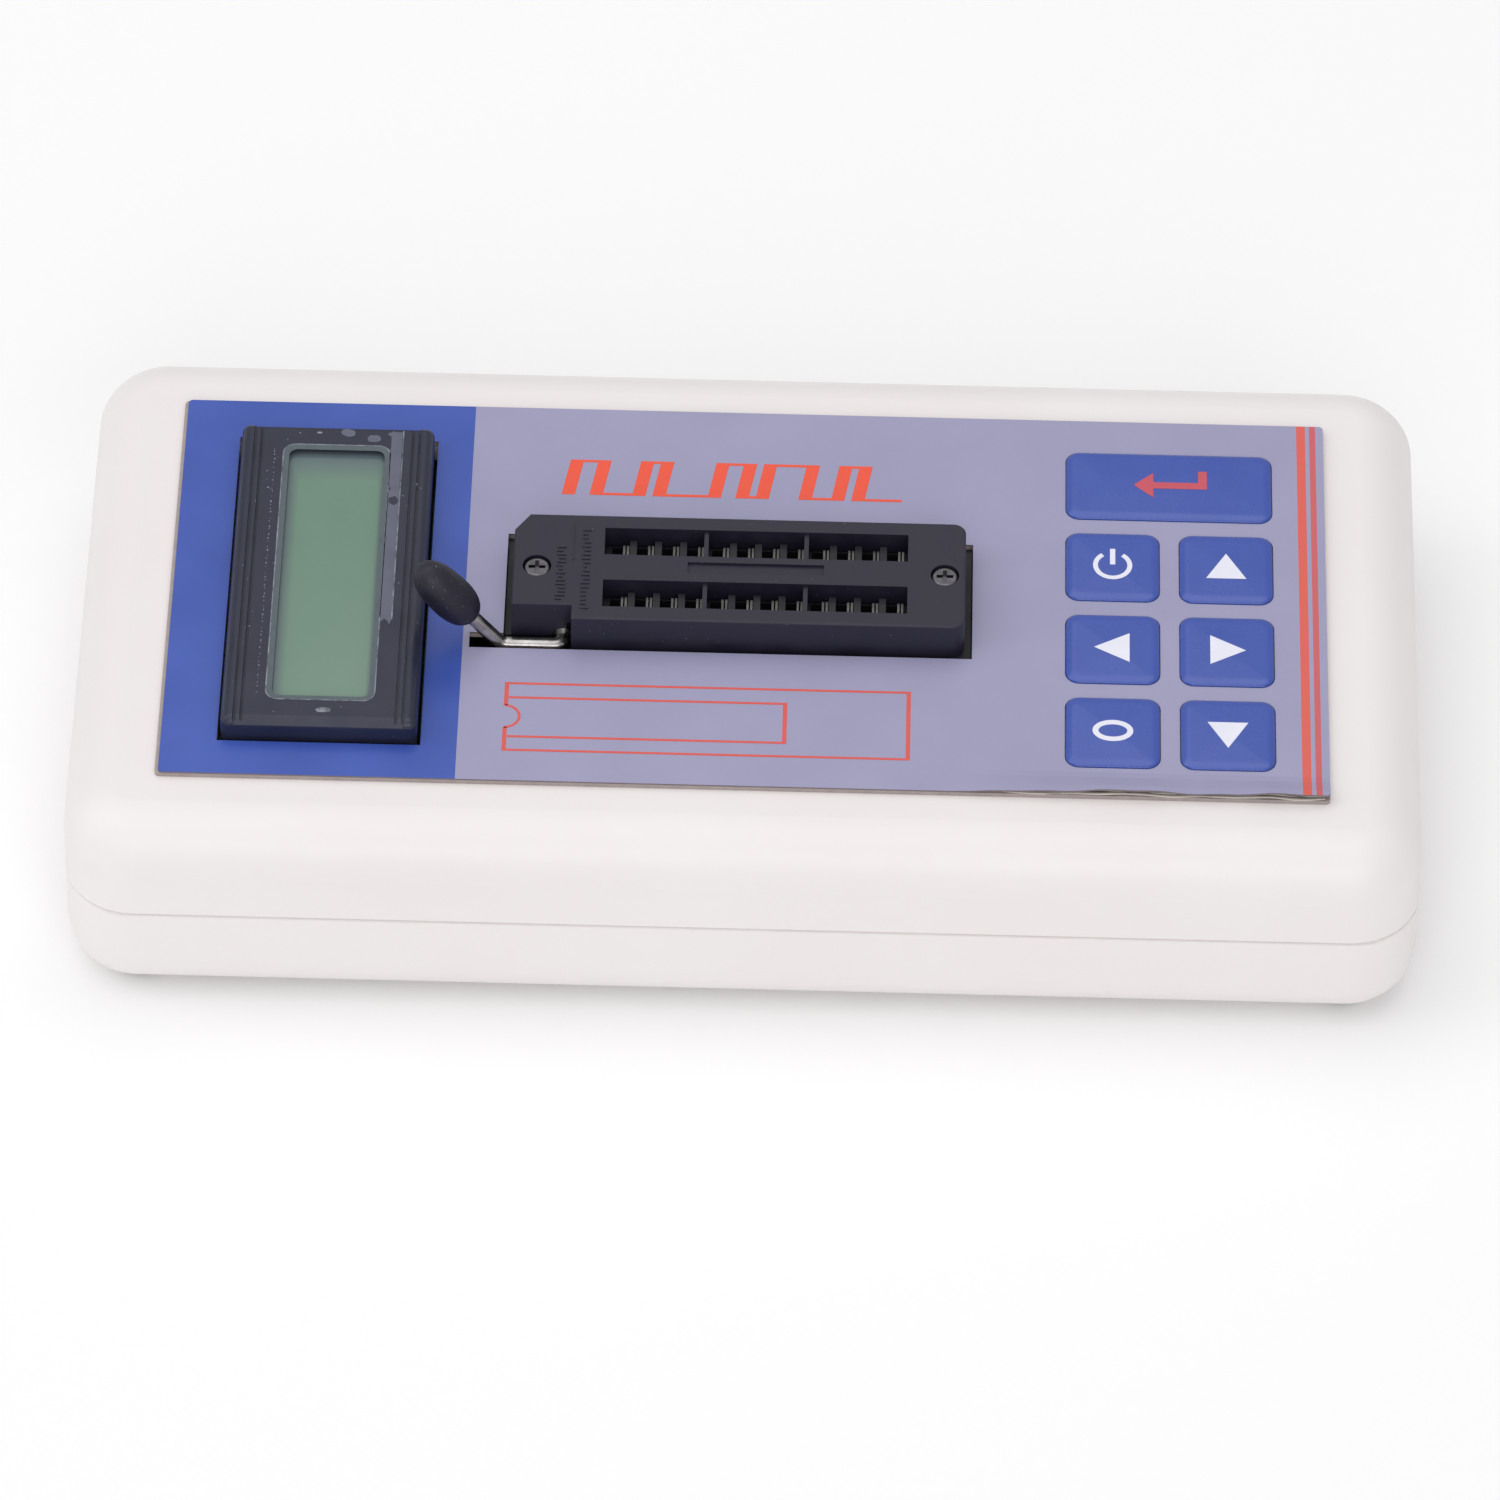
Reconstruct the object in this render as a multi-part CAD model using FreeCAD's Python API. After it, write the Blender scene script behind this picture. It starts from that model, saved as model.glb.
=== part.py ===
import FreeCAD, Part
import math
import os

from FreeCAD import Vector

# Handheld logic-chip tester. A two-part case lies flat, long side along X, and stands on z = 0.
# Left to right on its top: display, lever-operated chip socket, membrane keypad.
# All sizes are in millimetres. The origin is the centre of the underside.

# ---------------------------------------------------------------- driving sizes
# case; its length follows from the socket and the batteries, see derived places
case_width = 70.0
case_height = 23.5
plan_radius = 7.2
top_edge_radius = 5.5
bottom_edge_radius = 5.8
wall = 2.0
seam_height = 12.3
seam_reveal = 0.35          # height and depth of the shadow line along the seam
seam_edge_radius = 0.3
lip_height = 1.5
lip_thickness = 0.9
fit_gap = 0.1               # clearance between fixed pieces that locate each other
slide_gap = 0.2             # clearance of pieces that slide on each other
thread_gap = 0.02           # a screw's thread in its boss
over = 1.0                  # cutting solids run this far past the faces that they open
sunk = 0.5                  # joined solids run this far into each other

# keypad sandwich, stuck on the case top
overlay_margin_x = 9.5      # case end to overlay end
overlay_margin_y = 8.75
overlay_radius = 0.45
spacer_show = 0.35          # the adhesive spacer shows past the overlay at its left end
hidden_margin = 0.6         # case openings past the overlay's, so that their edges stay hidden
circuit_thickness = 0.15
spacer_thickness = 0.35
overlay_thickness = 0.2
key_size = 9.5
key_gap = 2.05              # between neighbouring keys
key_rows = 4
key_radius = 1.4
key_edge_margin = 5.4       # last key column to overlay end
key_row_offset = -0.5       # keypad centre from the case's long axis
key_emboss = 0.4            # how far a key stands proud of the overlay
key_skin = 0.2
key_side_gap = 0.07
key_edge_share = 0.9        # rounded part of a key's rise
dome_radius = 3.2
dome_thickness = 0.08
dome_gap = 0.02             # dome's crown to the key
circuit_margin = 1.6        # printed circuit past the keys
tail_width = 13.0
tail_inset = 0.9            # tail from the board's right end
tail_slot_width = 1.6       # slot in the case top for the tail
tail_slot_margin = 1.0      # slot past the tail, each side
tail_end_gap = 0.6          # tail's end above the board
tail_room = 5.3             # socket to the board's right end

# display module
bezel_width = 19.7          # along X
bezel_length = 42.1         # along Y
bezel_proud = 2.6           # above the overlay
bezel_from_overlay_end = 5.95
bezel_row_offset = -0.37
bezel_opening_gap = 0.35
bezel_wall = 1.2
bezel_corner_radius = 0.8
window_width = 10.3
window_length = 35.3
window_radius = 0.9
window_chamfer = 0.25
window_skin = 0.5           # bezel left over the glass, round the window
window_pocket = 0.7         # pocket for the upper glass past the window, each side
groove_width = 0.32
groove_depth = 0.4
groove_insets = (1.4, 2.1)  # from the bezel's long sides; the outer ones bound its side rails
bezel_shoulder = 0.9        # rounding along the long sides
bezel_end_bevel = 0.7       # between the side rails
glass_plate = 1.0           # lower plate's thickness; it carries the contact edge
diffuser_margin = 0.8       # diffuser past the window, each side
strip_width = 1.4           # rubber contact strips
strip_edge_gap = 0.2
strip_over = 0.5            # strips past the window, each end
display_board_margin = 2.3  # board past the bezel, each side
display_board_thickness = 1.2
resin_radius = 5.0
resin_height = 1.0
resin_edge_radius = 0.8
resin_offset = 2.0          # from the bezel's centre line, along X
header_height = 2.2
header_width = 2.4
header_inset = 1.5          # pins from the display board's left edge
header_pins = 14
pin_pitch = 2.54
pin_size = 0.6
pin_hole_radius = 0.5
pin_tail = 1.0              # pins past the main board
pin_head = 0.8              # pins past the display board

# chip socket
socket_lever_end = 9.31     # cover's left end to the first contact's cell
socket_far_end = 6.01       # last contact's cell to the cover's right end
socket_width = 14.6
grid_x = 0.55               # middle of the contact rows, from the case's middle
socket_proud = 3.8          # cover top above the overlay
socket_height = 11.6        # board to cover top
cover_height = 4.5
cover_roof = 2.55           # cover top to the slider's cavity
base_margin = 0.5           # base past the cover, each end
base_side_margin = 0.1      # base past the cover, each side
base_rim_height = 1.9       # rim at the base's top that fills the overlay's opening
contact_count = 12          # per row
contacts_per_window = 4
row_spacing = 7.3
slot_width = 3.75
divider_thickness = 0.45
divider_recess = 0.35
socket_opening_gap_x = 0.8
socket_opening_gap_y = 0.75
groove_plate = (13.8, 1.5, 0.3)        # shallow panel between the contact rows
groove_plate_y = 0.2
window_end_gap = 0.15       # windows past the first and last cells
chamfered_corner = (1.5, 2.2)
cover_corner_radius = 1.3
cover_top_radius = 0.2
notch_length = 6.1          # finger notch at the lever's corner
notch_depth = 1.8
blade_thickness = 0.22
blade_width = 1.8
blade_gap = 0.16
blade_lead = 0.838          # first blade, in from its cell's right edge
blade_recess = 1.5          # blade tips below the cover top
blade_lift = 0.9            # contact bridges above the board
bridge_thickness = 0.3
contact_pin = (0.25, 0.5, 1.2)         # along X, along Y, past the board
contact_hole_radius = 0.4
chamber_gap = 0.2           # contact chambers past the blades
rib_width = 0.7
rib_lead = 0.15             # rib starts this far before its cell's right edge
rib_side_gap = 0.3
slider_slot_gap = 0.15
slider_lead = 1.2           # slider's cavity towards the lever
slider_tail = 1.6           # slider past the last cell
slider_edge = 0.35          # slider past the slots
screw_inset = (2.4, 2.1)    # cover screws from the cover's left and right ends
cover_screw_radius = 0.9
cover_screw_end = 1.5       # screw holes stop this far above the board
cover_head_radius = 1.35
cover_head_height = 0.9
cover_head_edge = 0.25
cover_head_gap = 0.1
cover_head_sunk = 0.2
cover_recess = (0.85, 0.4, 0.5)        # cross recess: reach, width, depth

# lever
rod_radius = 0.75
arm_length = 6.2            # pivot to bend
rod_rise_deg = 53.0         # handle rod above the arm at rest
rod_length = 13.5           # bend to knob end
knob_length = 8.75
knob_radius = 2.22
knob_inset = 1.6            # knob end past the rod's end
knob_bluntness = 2.5        # 2 is an ellipsoid; more is blunter
knob_fullness = 0.07        # extra girth towards the rod, as a share
pivot_inset = 5.2           # pivot axis from the cover's left end
shaft_radius = 1.1
shaft_gap = 0.05            # running clearance on the radius
cam_radius = 1.5
lever_swing_deg = 60.0
slider_stroke = 0.8
slider_rest_gap = 0.1
cam_width = 2.2
cam_inner_y = 2.2
arm_bend_radius = 1.2
arm_front = 0.25            # arm's front past the cover's front
arm_room = 0.5              # room under the arm at rest
shaft_end = 0.3
lever_slot_length = 3.4     # slot in the overlay, beyond the socket opening
lever_slot_width = 2.1

# boards
board_thickness = 1.6
board_margin = 3.0          # board to the case's inner end wall
board_edge_gap = 7.6        # board to the case's inner side walls
board_screw_radius = 1.0
board_boss_radius = 2.2
board_screw_inset = 3.9
board_screw_inset_right = 2.9
board_screw_gap = 0.15
board_screw_tip = 1.2       # screw tip below the case's ceiling
board_head_radius = 1.9
board_head_height = 1.2
board_head_edge = 0.5
board_recess = (1.1, 0.45, 0.6)        # cross recess: reach, width, depth

# components on the board
chip_half = 5.0             # microcontroller's body, half its side
chip_height = 1.2
chip_standoff = 0.1
chip_corner_radius = 0.3
chip_leads = 11             # per side
chip_lead_pitch = 0.8
chip_lead = (1.4, 0.35, 0.3)           # length, width, thickness
crystal_can = (4.4, 10.5, 3.4, 2.1)    # width, length, height, corner radius
crystal_flange = (4.9, 11.2, 0.5, 2.4)
crystal_x = 11.5            # from the socket's centre
capacitor_radius = 2.5
capacitor_height = 4.4
capacitor_edge = 0.3
capacitor_xs = (-10.0, -16.5)          # from the socket's centre
inductor_x = 17.5           # from the socket's centre
inductor_radii = (2.8, 2.3)            # flanges and core
inductor_heights = (0.9, 2.5, 3.4)     # top of the lower flange, foot and top of the upper one
resistor = (1.25, 2.0, 0.5)
resistor_gap = 0.5          # resistors from the socket's base
connector_wall = 0.8
connector_height = 2.6
connector_floor = 0.5

# batteries, lying across the case at its right end
cell_radius = 5.25
cell_body_length = 43.5
nub_radius = 1.9
nub_length = 1.0
cell_edge_radius = 0.5
cell_count = 3
cell_gap = 0.5
cell_lift = 0.6             # cells above the case floor
bay_wall = 1.2
board_bay_gap = 2.0
bay_end_gap = 1.0           # bay to the case's inner end wall
bay_length = 49.0           # inside, along Y
bay_headroom = 0.5
plate_thickness = 0.4
plate_width = 8.0
tab_width = 3.0             # terminal tabs, up through the bay's roof
tab_slot_gap = 0.3
tab_height = 1.6            # above the roof
spring_gap = 0.05           # spring to plate and to cell
spring_wire_radius = 0.3
spring_turns = 4
spring_foot_radius = 3.4
spring_tip_radius = 2.6
lead_radius = 0.65
lead_lift = 1.2             # leads run this far above the tabs or the board
lead_start = 1.3            # below the tab's top
lead_turn = (6.0, 3.0)      # first slanted run, along X and Y
lead_landing_inset = 7.0    # from the board's right end
lead_landing_run = 3.0
lead_landing_y = 2.0        # in from the middle of the board's free strip
lead_bends = (1.0, 2.6, 2.0, 1.0)

# battery door
door_half_width = 23.0
door_ledge = 1.2            # tongue past the door's visible edge, each side
door_ledge_bottom = 1.0
door_rise = 6.0             # height of the door's curved end
door_grip_count = 4
door_grip_pitch = 1.8
door_grip_half_length = 7.0
door_grip_depth = 0.4

# case screws
case_screw_inset_x = 7.5
case_screw_inset_y = 6.2
case_screw_radius = 1.3
case_head_radius = 2.6
case_head_height = 1.8
case_head_sunk = 2.5
case_head_edge = 0.6
case_head_gap = 0.2
case_screw_tip = 2.0        # screw tip below the case's ceiling
case_recess = (1.5, 0.6, 1.1)          # cross recess: reach, width, depth
case_boss_radius = 3.3
case_boss_step = 0.4        # upper bosses are this much slimmer

# ---------------------------------------------------------------- derived places
socket_length = socket_lever_end + contact_count * pin_pitch + socket_far_end
socket_left = grid_x - contact_count * pin_pitch / 2 - socket_lever_end
socket_right = socket_left + socket_length
socket_centre_x = socket_left + socket_length / 2
cell_pitch = 2 * cell_radius + cell_gap
board_right = socket_right + tail_room
bay_outer_left = board_right + board_bay_gap
bay_left = bay_outer_left + bay_wall
bay_right = bay_left + cell_pitch * cell_count + cell_gap
case_length = 2 * (bay_right + bay_wall + bay_end_gap + wall)

overlay_bottom = case_height + circuit_thickness + spacer_thickness
overlay_top = overlay_bottom + overlay_thickness
overlay_half_x = case_length / 2 - overlay_margin_x
overlay_half_y = case_width / 2 - overlay_margin_y
inner_half_x = case_length / 2 - wall
inner_half_y = case_width / 2 - wall
ceiling = case_height - wall

bezel_x = -overlay_half_x + bezel_from_overlay_end + bezel_width / 2
bezel_y = bezel_row_offset
bezel_top = overlay_top + bezel_proud

socket_top = overlay_top + socket_proud
board_top = socket_top - socket_height
board_bottom = board_top - board_thickness
split_z = socket_top - cover_height       # cover meets base on the lever's axis
cell_edges = [grid_x + pin_pitch * (k - contact_count / 2) for k in range(contact_count + 1)]
pivot_x = socket_left + pivot_inset
pivot_z = split_z
arm_y = -socket_width / 2 + rod_radius - arm_front
notch_right = socket_left + notch_length
notch_inner_y = -socket_width / 2 + notch_depth
cam_offset = slider_stroke / math.sin(math.radians(lever_swing_deg))
cam_cavity_radius = cam_radius + cam_offset + slide_gap
slider_bottom = split_z + fit_gap
slider_top = socket_top - cover_roof - slide_gap
rib_top = socket_top - blade_recess
slider_left = pivot_x + cam_radius + slider_rest_gap
slider_half_y = row_spacing / 2 + slot_width / 2 + slider_edge
slider_right = cell_edges[-1] + slider_tail
base_half_y = socket_width / 2 + base_side_margin
cover_screw_xs = (socket_left + screw_inset[0], socket_right - screw_inset[1])
row_ys = (-row_spacing / 2, row_spacing / 2)
blades_width = 2 * blade_thickness + blade_gap

key_pitch = key_size + key_gap
key_right_x = overlay_half_x - key_edge_margin - key_size / 2
key_left_x = key_right_x - key_pitch
key_ys = [key_row_offset + key_pitch * ((key_rows - 1) / 2 - row) for row in range(key_rows)]

display_board_top = board_top + header_height + display_board_thickness
display_board_bottom = board_top + header_height
glass_middle = bezel_top - bezel_wall - fit_gap
glass_bottom = glass_middle - glass_plate
glass_top = bezel_top - window_skin - fit_gap
header_x = bezel_x - bezel_width / 2 - display_board_margin + header_inset
header_ys = [bezel_y + pin_pitch * (n - (header_pins - 1) / 2) for n in range(header_pins)]

cell_xs = [bay_left + cell_gap + cell_pitch * (n + 0.5) - cell_gap / 2 for n in range(cell_count)]
cell_z = wall + cell_lift + cell_radius
bay_top = cell_z + cell_radius + bay_headroom
tab_top = bay_top + bay_wall + tab_height
plate_y = bay_length / 2 - plate_thickness / 2

board_left = -inner_half_x + board_margin
board_half_y = inner_half_y - board_edge_gap
back_strip_y = (socket_width / 2 + board_half_y) / 2       # free strip of board behind the socket
tail_x = board_right - tail_inset
blade_offset = pin_pitch - blade_lead
case_screw_places = [
    (sx * (case_length / 2 - case_screw_inset_x), sy * (case_width / 2 - case_screw_inset_y))
    for sx in (-1, 1) for sy in (-1, 1)
]
board_screw_places = [
    (x, sy * (board_half_y - board_screw_inset))
    for x in (board_left + board_screw_inset, board_right - board_screw_inset_right)
    for sy in (-1, 1)
]


# ---------------------------------------------------------------- shape helpers
near = 1e-4                 # two places closer than this are the same


def block(x0, x1, y0, y1, z0, z1):
    return Part.makeBox(x1 - x0, y1 - y0, z1 - z0, Vector(x0, y0, z0))


def centred(x, y, size_x, size_y, z0, z1):
    return block(x - size_x / 2, x + size_x / 2, y - size_y / 2, y + size_y / 2, z0, z1)


def post(x, y, z0, z1, radius):
    return Part.makeCylinder(radius, z1 - z0, Vector(x, y, z0))


def upright_edges(shape):
    found = []
    for edge in shape.Edges:
        a, b = edge.Vertexes[0].Point, edge.Vertexes[-1].Point
        if abs(a.x - b.x) < near and abs(a.y - b.y) < near and abs(a.z - b.z) > near:
            found.append(edge)
    return found


def edges_at_height(shape, z):
    return [e for e in shape.Edges if all(abs(v.Point.z - z) < near for v in e.Vertexes)]


def rounded(x, y, size_x, size_y, z0, z1, radius):
    """An upright prism with a rounded-rectangle outline."""
    body = centred(x, y, size_x, size_y, z0, z1)
    return body.makeFillet(radius, upright_edges(body))


def case_blank(inset):
    """The case's outer form, taken in by an even inset on every side."""
    body = rounded(0, 0, case_length - 2 * inset, case_width - 2 * inset,
                   inset, case_height - inset, plan_radius - inset)
    body = body.makeFillet(top_edge_radius - inset, edges_at_height(body, case_height - inset))
    return body.makeFillet(bottom_edge_radius - inset, edges_at_height(body, inset))


def outline_prism(inset, z0, z1):
    return rounded(0, 0, case_length - 2 * inset, case_width - 2 * inset, z0, z1, plan_radius - inset)


def all_of(shapes):
    joined = shapes[0]
    return joined.multiFuse(shapes[1:]).removeSplitter() if len(shapes) > 1 else joined


def bent_rod(points, radius, bends):
    """A round rod along straight runs that are joined by tangent arcs, with one radius for each bend."""
    points = [Vector(*p) for p in points]
    edges = []
    start = points[0]
    for n in range(1, len(points) - 1):
        corner = points[n]
        back = (points[n - 1] - corner).normalize()
        ahead = (points[n + 1] - corner).normalize()
        half = back.getAngle(ahead) / 2
        reach = bends[n - 1] / math.tan(half)
        arc_start = corner + back * reach
        arc_end = corner + ahead * reach
        middle_way = (back + ahead).normalize()
        centre = corner + middle_way * (bends[n - 1] / math.sin(half))
        arc_middle = centre - middle_way * bends[n - 1]
        if (arc_start - start).Length > near:
            edges.append(Part.LineSegment(start, arc_start).toShape())
        edges.append(Part.Arc(arc_start, arc_middle, arc_end).toShape())
        start = arc_end
    edges.append(Part.LineSegment(start, points[-1]).toShape())
    path = Part.Wire(edges)
    ring = Part.Wire(Part.Circle(points[0], points[1] - points[0], radius).toShape())
    return path.makePipeShell([ring], True, False)


def cross_recess(x, y, z, way, sizes):
    """The cutting solid for a cross recess in a screw head whose face at z looks up (way 1) or down (-1)."""
    reach, width, depth = sizes
    z0, z1 = sorted((z - way * depth, z + way * over))
    return all_of([centred(x, y, 2 * reach, width, z0, z1), centred(x, y, width, 2 * reach, z0, z1)])


def along_y(x, z, y0, y1, radius):
    return Part.makeCylinder(radius, y1 - y0, Vector(x, y0, z), Vector(0, 1, 0))


# ---------------------------------------------------------------- case
def lever_opening(z0, z1):
    """The socket's opening in the keypad, with the slot that the lever dips into."""
    half_y = socket_width / 2 + socket_opening_gap_y
    left = socket_left - socket_opening_gap_x
    main = block(left, socket_right + socket_opening_gap_x, -half_y, half_y, z0, z1)
    slot = block(left - lever_slot_length, left + sunk, -half_y, -half_y + lever_slot_width, z0, z1)
    return main.fuse(slot)


def socket_hole(z0, z1):
    """The plain hole in the case top, under the keypad's socket opening and slot."""
    half_y = socket_width / 2 + socket_opening_gap_y + hidden_margin
    left = socket_left - socket_opening_gap_x - lever_slot_length - hidden_margin
    return block(left, socket_right + socket_opening_gap_x + hidden_margin, -half_y, half_y, z0, z1)


def display_opening(z0, z1, gap):
    return centred(bezel_x, bezel_y, bezel_width + 2 * gap, bezel_length + 2 * gap, z0, z1)


def top_shell():
    shell = case_blank(0).cut(case_blank(wall))
    shell = shell.common(outline_prism(-over, seam_height, case_height + over))
    # rebate for the lip, and the shadow line along the seam
    shell = shell.cut(outline_prism(wall - lip_thickness - fit_gap, seam_height - over,
                                    seam_height + lip_height + fit_gap))
    skirt = outline_prism(-over, seam_height - over, seam_height + seam_reveal)
    shell = shell.cut(skirt.cut(outline_prism(seam_reveal, seam_height - 2 * over, seam_height + over)))
    bosses = [post(x, y, seam_height + fit_gap, ceiling + wall / 2, case_boss_radius - case_boss_step)
              for x, y in case_screw_places]
    bosses += [post(x, y, board_top, ceiling + wall / 2, board_boss_radius)
               for x, y in board_screw_places]
    bosses = [boss.common(case_blank(wall / 2)) for boss in bosses]
    shell = all_of([shell] + bosses)
    top = case_height + over
    holes = [post(x, y, seam_height - over, ceiling - case_screw_tip + sunk, case_screw_radius + thread_gap)
             for x, y in case_screw_places]
    holes += [post(x, y, board_top - over, ceiling - board_screw_tip + sunk, board_screw_radius + thread_gap)
              for x, y in board_screw_places]
    holes.append(socket_hole(ceiling - over, top))
    holes.append(display_opening(ceiling - over, top, bezel_opening_gap))
    holes.append(centred(tail_x, 0, tail_slot_width, tail_width + 2 * tail_slot_margin, ceiling - over, top))
    return shell.cut(all_of(holes))


def door_cutter():
    """Everything that the bottom shell gives up to the door, as a solid."""
    reach = case_length
    side = door_half_width + fit_gap
    window = block(bay_left, reach, -side, side, -over, door_rise + fit_gap)
    tongue = side + door_ledge
    groove = block(bay_left, reach, -tongue, tongue, door_ledge_bottom - fit_gap / 2, wall)
    return window.cut(case_blank(wall)).fuse(groove)


def bottom_shell():
    shell = case_blank(0).cut(case_blank(wall))
    shell = shell.common(outline_prism(-over, -over, seam_height))
    rim = [e for e in edges_at_height(shell, seam_height)
           if e.BoundBox.XLength > inner_half_x or e.BoundBox.YLength > inner_half_y]
    shell = shell.makeFillet(seam_edge_radius, [e for e in rim if is_outer(e)] + outer_corners(shell))
    lip = outline_prism(wall - lip_thickness, seam_height - over, seam_height + lip_height)
    lip = lip.cut(outline_prism(wall, seam_height - 2 * over, seam_height + lip_height + over))
    bay = block(bay_outer_left, bay_right + bay_wall, -bay_length / 2 - bay_wall,
                bay_length / 2 + bay_wall, wall / 2, bay_top + bay_wall)
    bay = bay.common(case_blank(wall / 4).fuse(block(0, case_length, -case_width, case_width,
                                                     seam_height - 2 * over, case_height)))
    room = block(bay_left, bay_right, -bay_length / 2, bay_length / 2, 0, bay_top)
    bosses = [post(x, y, 0, seam_height, case_boss_radius).common(case_blank(0))
              for x, y in case_screw_places]
    shell = all_of([shell, lip, bay.cut(room)] + bosses)
    cuts = [room.common(block(0, case_length, -case_width, case_width, wall, case_height))]
    for x, y in case_screw_places:
        cuts.append(post(x, y, -over, seam_height + over, case_screw_radius + fit_gap))
        cuts.append(post(x, y, -over, case_head_sunk, case_head_radius + case_head_gap))
    cuts += [centred(x, y, tab_width + 2 * tab_slot_gap, plate_thickness + tab_slot_gap,
                     bay_top - over, bay_top + bay_wall + over) for x, y in terminal_places()]
    cuts.append(door_cutter())
    return shell.cut(all_of(cuts))


def is_outer(edge):
    box = edge.BoundBox
    return max(abs(box.XMin), abs(box.XMax)) > case_length / 2 - near or \
        max(abs(box.YMin), abs(box.YMax)) > case_width / 2 - near


def outer_corners(shell):
    """The rounded corner edges of the outer outline at the seam."""
    found = []
    for edge in edges_at_height(shell, seam_height):
        box = edge.BoundBox
        if abs(box.XLength - plan_radius) < near and abs(box.YLength - plan_radius) < near:
            found.append(edge)
    return found


def battery_door():
    reach = case_length
    skin = case_blank(0).cut(case_blank(wall - slide_gap))
    door = skin.common(block(bay_left + fit_gap, reach, -door_half_width, door_half_width, -over, door_rise))
    ledge_half = door_half_width + door_ledge
    ledge = block(bay_left + fit_gap, reach, -ledge_half, ledge_half,
                  door_ledge_bottom, wall - slide_gap).common(case_blank(0))
    grips = [block(cell_xs[0] + n * door_grip_pitch, cell_xs[0] + n * door_grip_pitch + door_grip_pitch / 2,
                   -door_grip_half_length, door_grip_half_length, -over, door_grip_depth)
             for n in range(door_grip_count)]
    return all_of([door, ledge]).cut(all_of(grips))


def case_screws():
    screws = []
    for x, y in case_screw_places:
        foot = case_head_sunk - case_head_height
        head = post(x, y, foot, case_head_sunk, case_head_radius)
        head = head.makeFillet(case_head_edge, edges_at_height(head, foot))
        shank = post(x, y, case_head_sunk, ceiling - case_screw_tip, case_screw_radius)
        recess = cross_recess(x, y, foot, -1, case_recess)
        screws.append(all_of([head, shank]).cut(recess))
    return Part.makeCompound(screws)


# ---------------------------------------------------------------- keypad sandwich
def key_outlines():
    """Name: (x, y, size along X) of each key."""
    wide = key_pitch + key_size
    middle = (key_left_x + key_right_x) / 2
    return {
        "enter": (middle, key_ys[0], wide),
        "program": (key_left_x, key_ys[1], key_size),
        "up": (key_right_x, key_ys[1], key_size),
        "left": (key_left_x, key_ys[2], key_size),
        "right": (key_right_x, key_ys[2], key_size),
        "ring": (key_left_x, key_ys[3], key_size),
        "down": (key_right_x, key_ys[3], key_size),
    }


def keypad_sheet(z0, z1, more_left):
    """The keypad's outline with its openings, drawn out at the left end by more_left."""
    sheet = rounded(-more_left / 2, 0, 2 * overlay_half_x + more_left, 2 * overlay_half_y, z0, z1,
                    overlay_radius)
    low, high = z0 - over, z1 + over
    holes = [lever_opening(low, high), display_opening(low, high, bezel_opening_gap)]
    holes += [rounded(x, y, size + 2 * key_side_gap, key_size + 2 * key_side_gap,
                      low, high, key_radius + key_side_gap)
              for x, y, size in key_outlines().values()]
    return sheet.cut(all_of(holes))


def circuit_area(gap, z0, z1):
    """The printed circuit lies only under the keys."""
    reach = key_size / 2 + circuit_margin + gap
    return block(key_left_x - reach, key_right_x + reach, key_ys[-1] - reach, key_ys[0] + reach, z0, z1)


def graphic_overlay():
    return keypad_sheet(overlay_bottom, overlay_top, 0)


def keypad_spacer():
    sheet = keypad_sheet(case_height, overlay_bottom, spacer_show)
    low, high = case_height - over, case_height + circuit_thickness
    left = circuit_area(0, low, high).BoundBox.XMin
    tail_way = block(tail_x - tail_slot_width / 2, left + sunk, -tail_width / 2 - fit_gap,
                     tail_width / 2 + fit_gap, low, high)
    return sheet.cut(circuit_area(fit_gap, low, high).fuse(tail_way))


def keypad_circuit():
    z0, z1 = case_height, case_height + circuit_thickness
    area = circuit_area(0, z0, z1)
    bridge = block(tail_x, area.BoundBox.XMin + sunk, -tail_width / 2, tail_width / 2, z0, z1)
    drop = block(tail_x, tail_x + circuit_thickness, -tail_width / 2, tail_width / 2,
                 board_top + tail_end_gap, z1)
    return all_of([area, bridge, drop])


def key(x, y, size):
    """A hollow embossed key: a thin domed cap, open below, that moves down into the spacer."""
    top = overlay_top + key_emboss
    cap = rounded(x, y, size, key_size, overlay_bottom, top, key_radius)
    cap = cap.makeFillet(key_emboss * key_edge_share, edges_at_height(cap, top))
    inset = 2 * key_skin
    hollow = rounded(x, y, size - 2 * inset, key_size - 2 * inset, overlay_bottom - over,
                     top - key_skin, key_radius - inset)
    return cap.cut(hollow)


def dome(x, y):
    """A snap dome: a shallow spherical cap of thin metal on the circuit."""
    foot = case_height + circuit_thickness
    rise = overlay_top + key_emboss - key_skin - dome_gap - foot
    ball = (dome_radius ** 2 + rise ** 2) / (2 * rise)
    centre = Vector(x, y, foot + rise - ball)
    cap = Part.makeSphere(ball, centre).cut(Part.makeSphere(ball - dome_thickness, centre))
    return cap.common(post(x, y, foot, foot + rise + over, dome_radius))


# ---------------------------------------------------------------- display
def bezel_end_wedge(side):
    """The prism that bevels the bezel's top at one end, between the side rails."""
    half = bezel_width / 2 - groove_insets[0]
    end = bezel_y + side * bezel_length / 2
    corners = [Vector(bezel_x - half, end + side * over, bezel_top - bezel_end_bevel - over),
               Vector(bezel_x - half, end + side * over, bezel_top + over),
               Vector(bezel_x - half, end - side * (bezel_end_bevel + over), bezel_top + over)]
    return Part.Face(Part.makePolygon(corners + corners[:1])).extrude(Vector(2 * half, 0, 0))


def upper_glass(gap, z0, z1):
    """The upper glass plate, or with a gap the pocket in the bezel that takes it."""
    grow = 2 * (window_pocket + gap)
    return centred(bezel_x, bezel_y, window_width + grow, window_length + grow, z0, z1)


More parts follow.
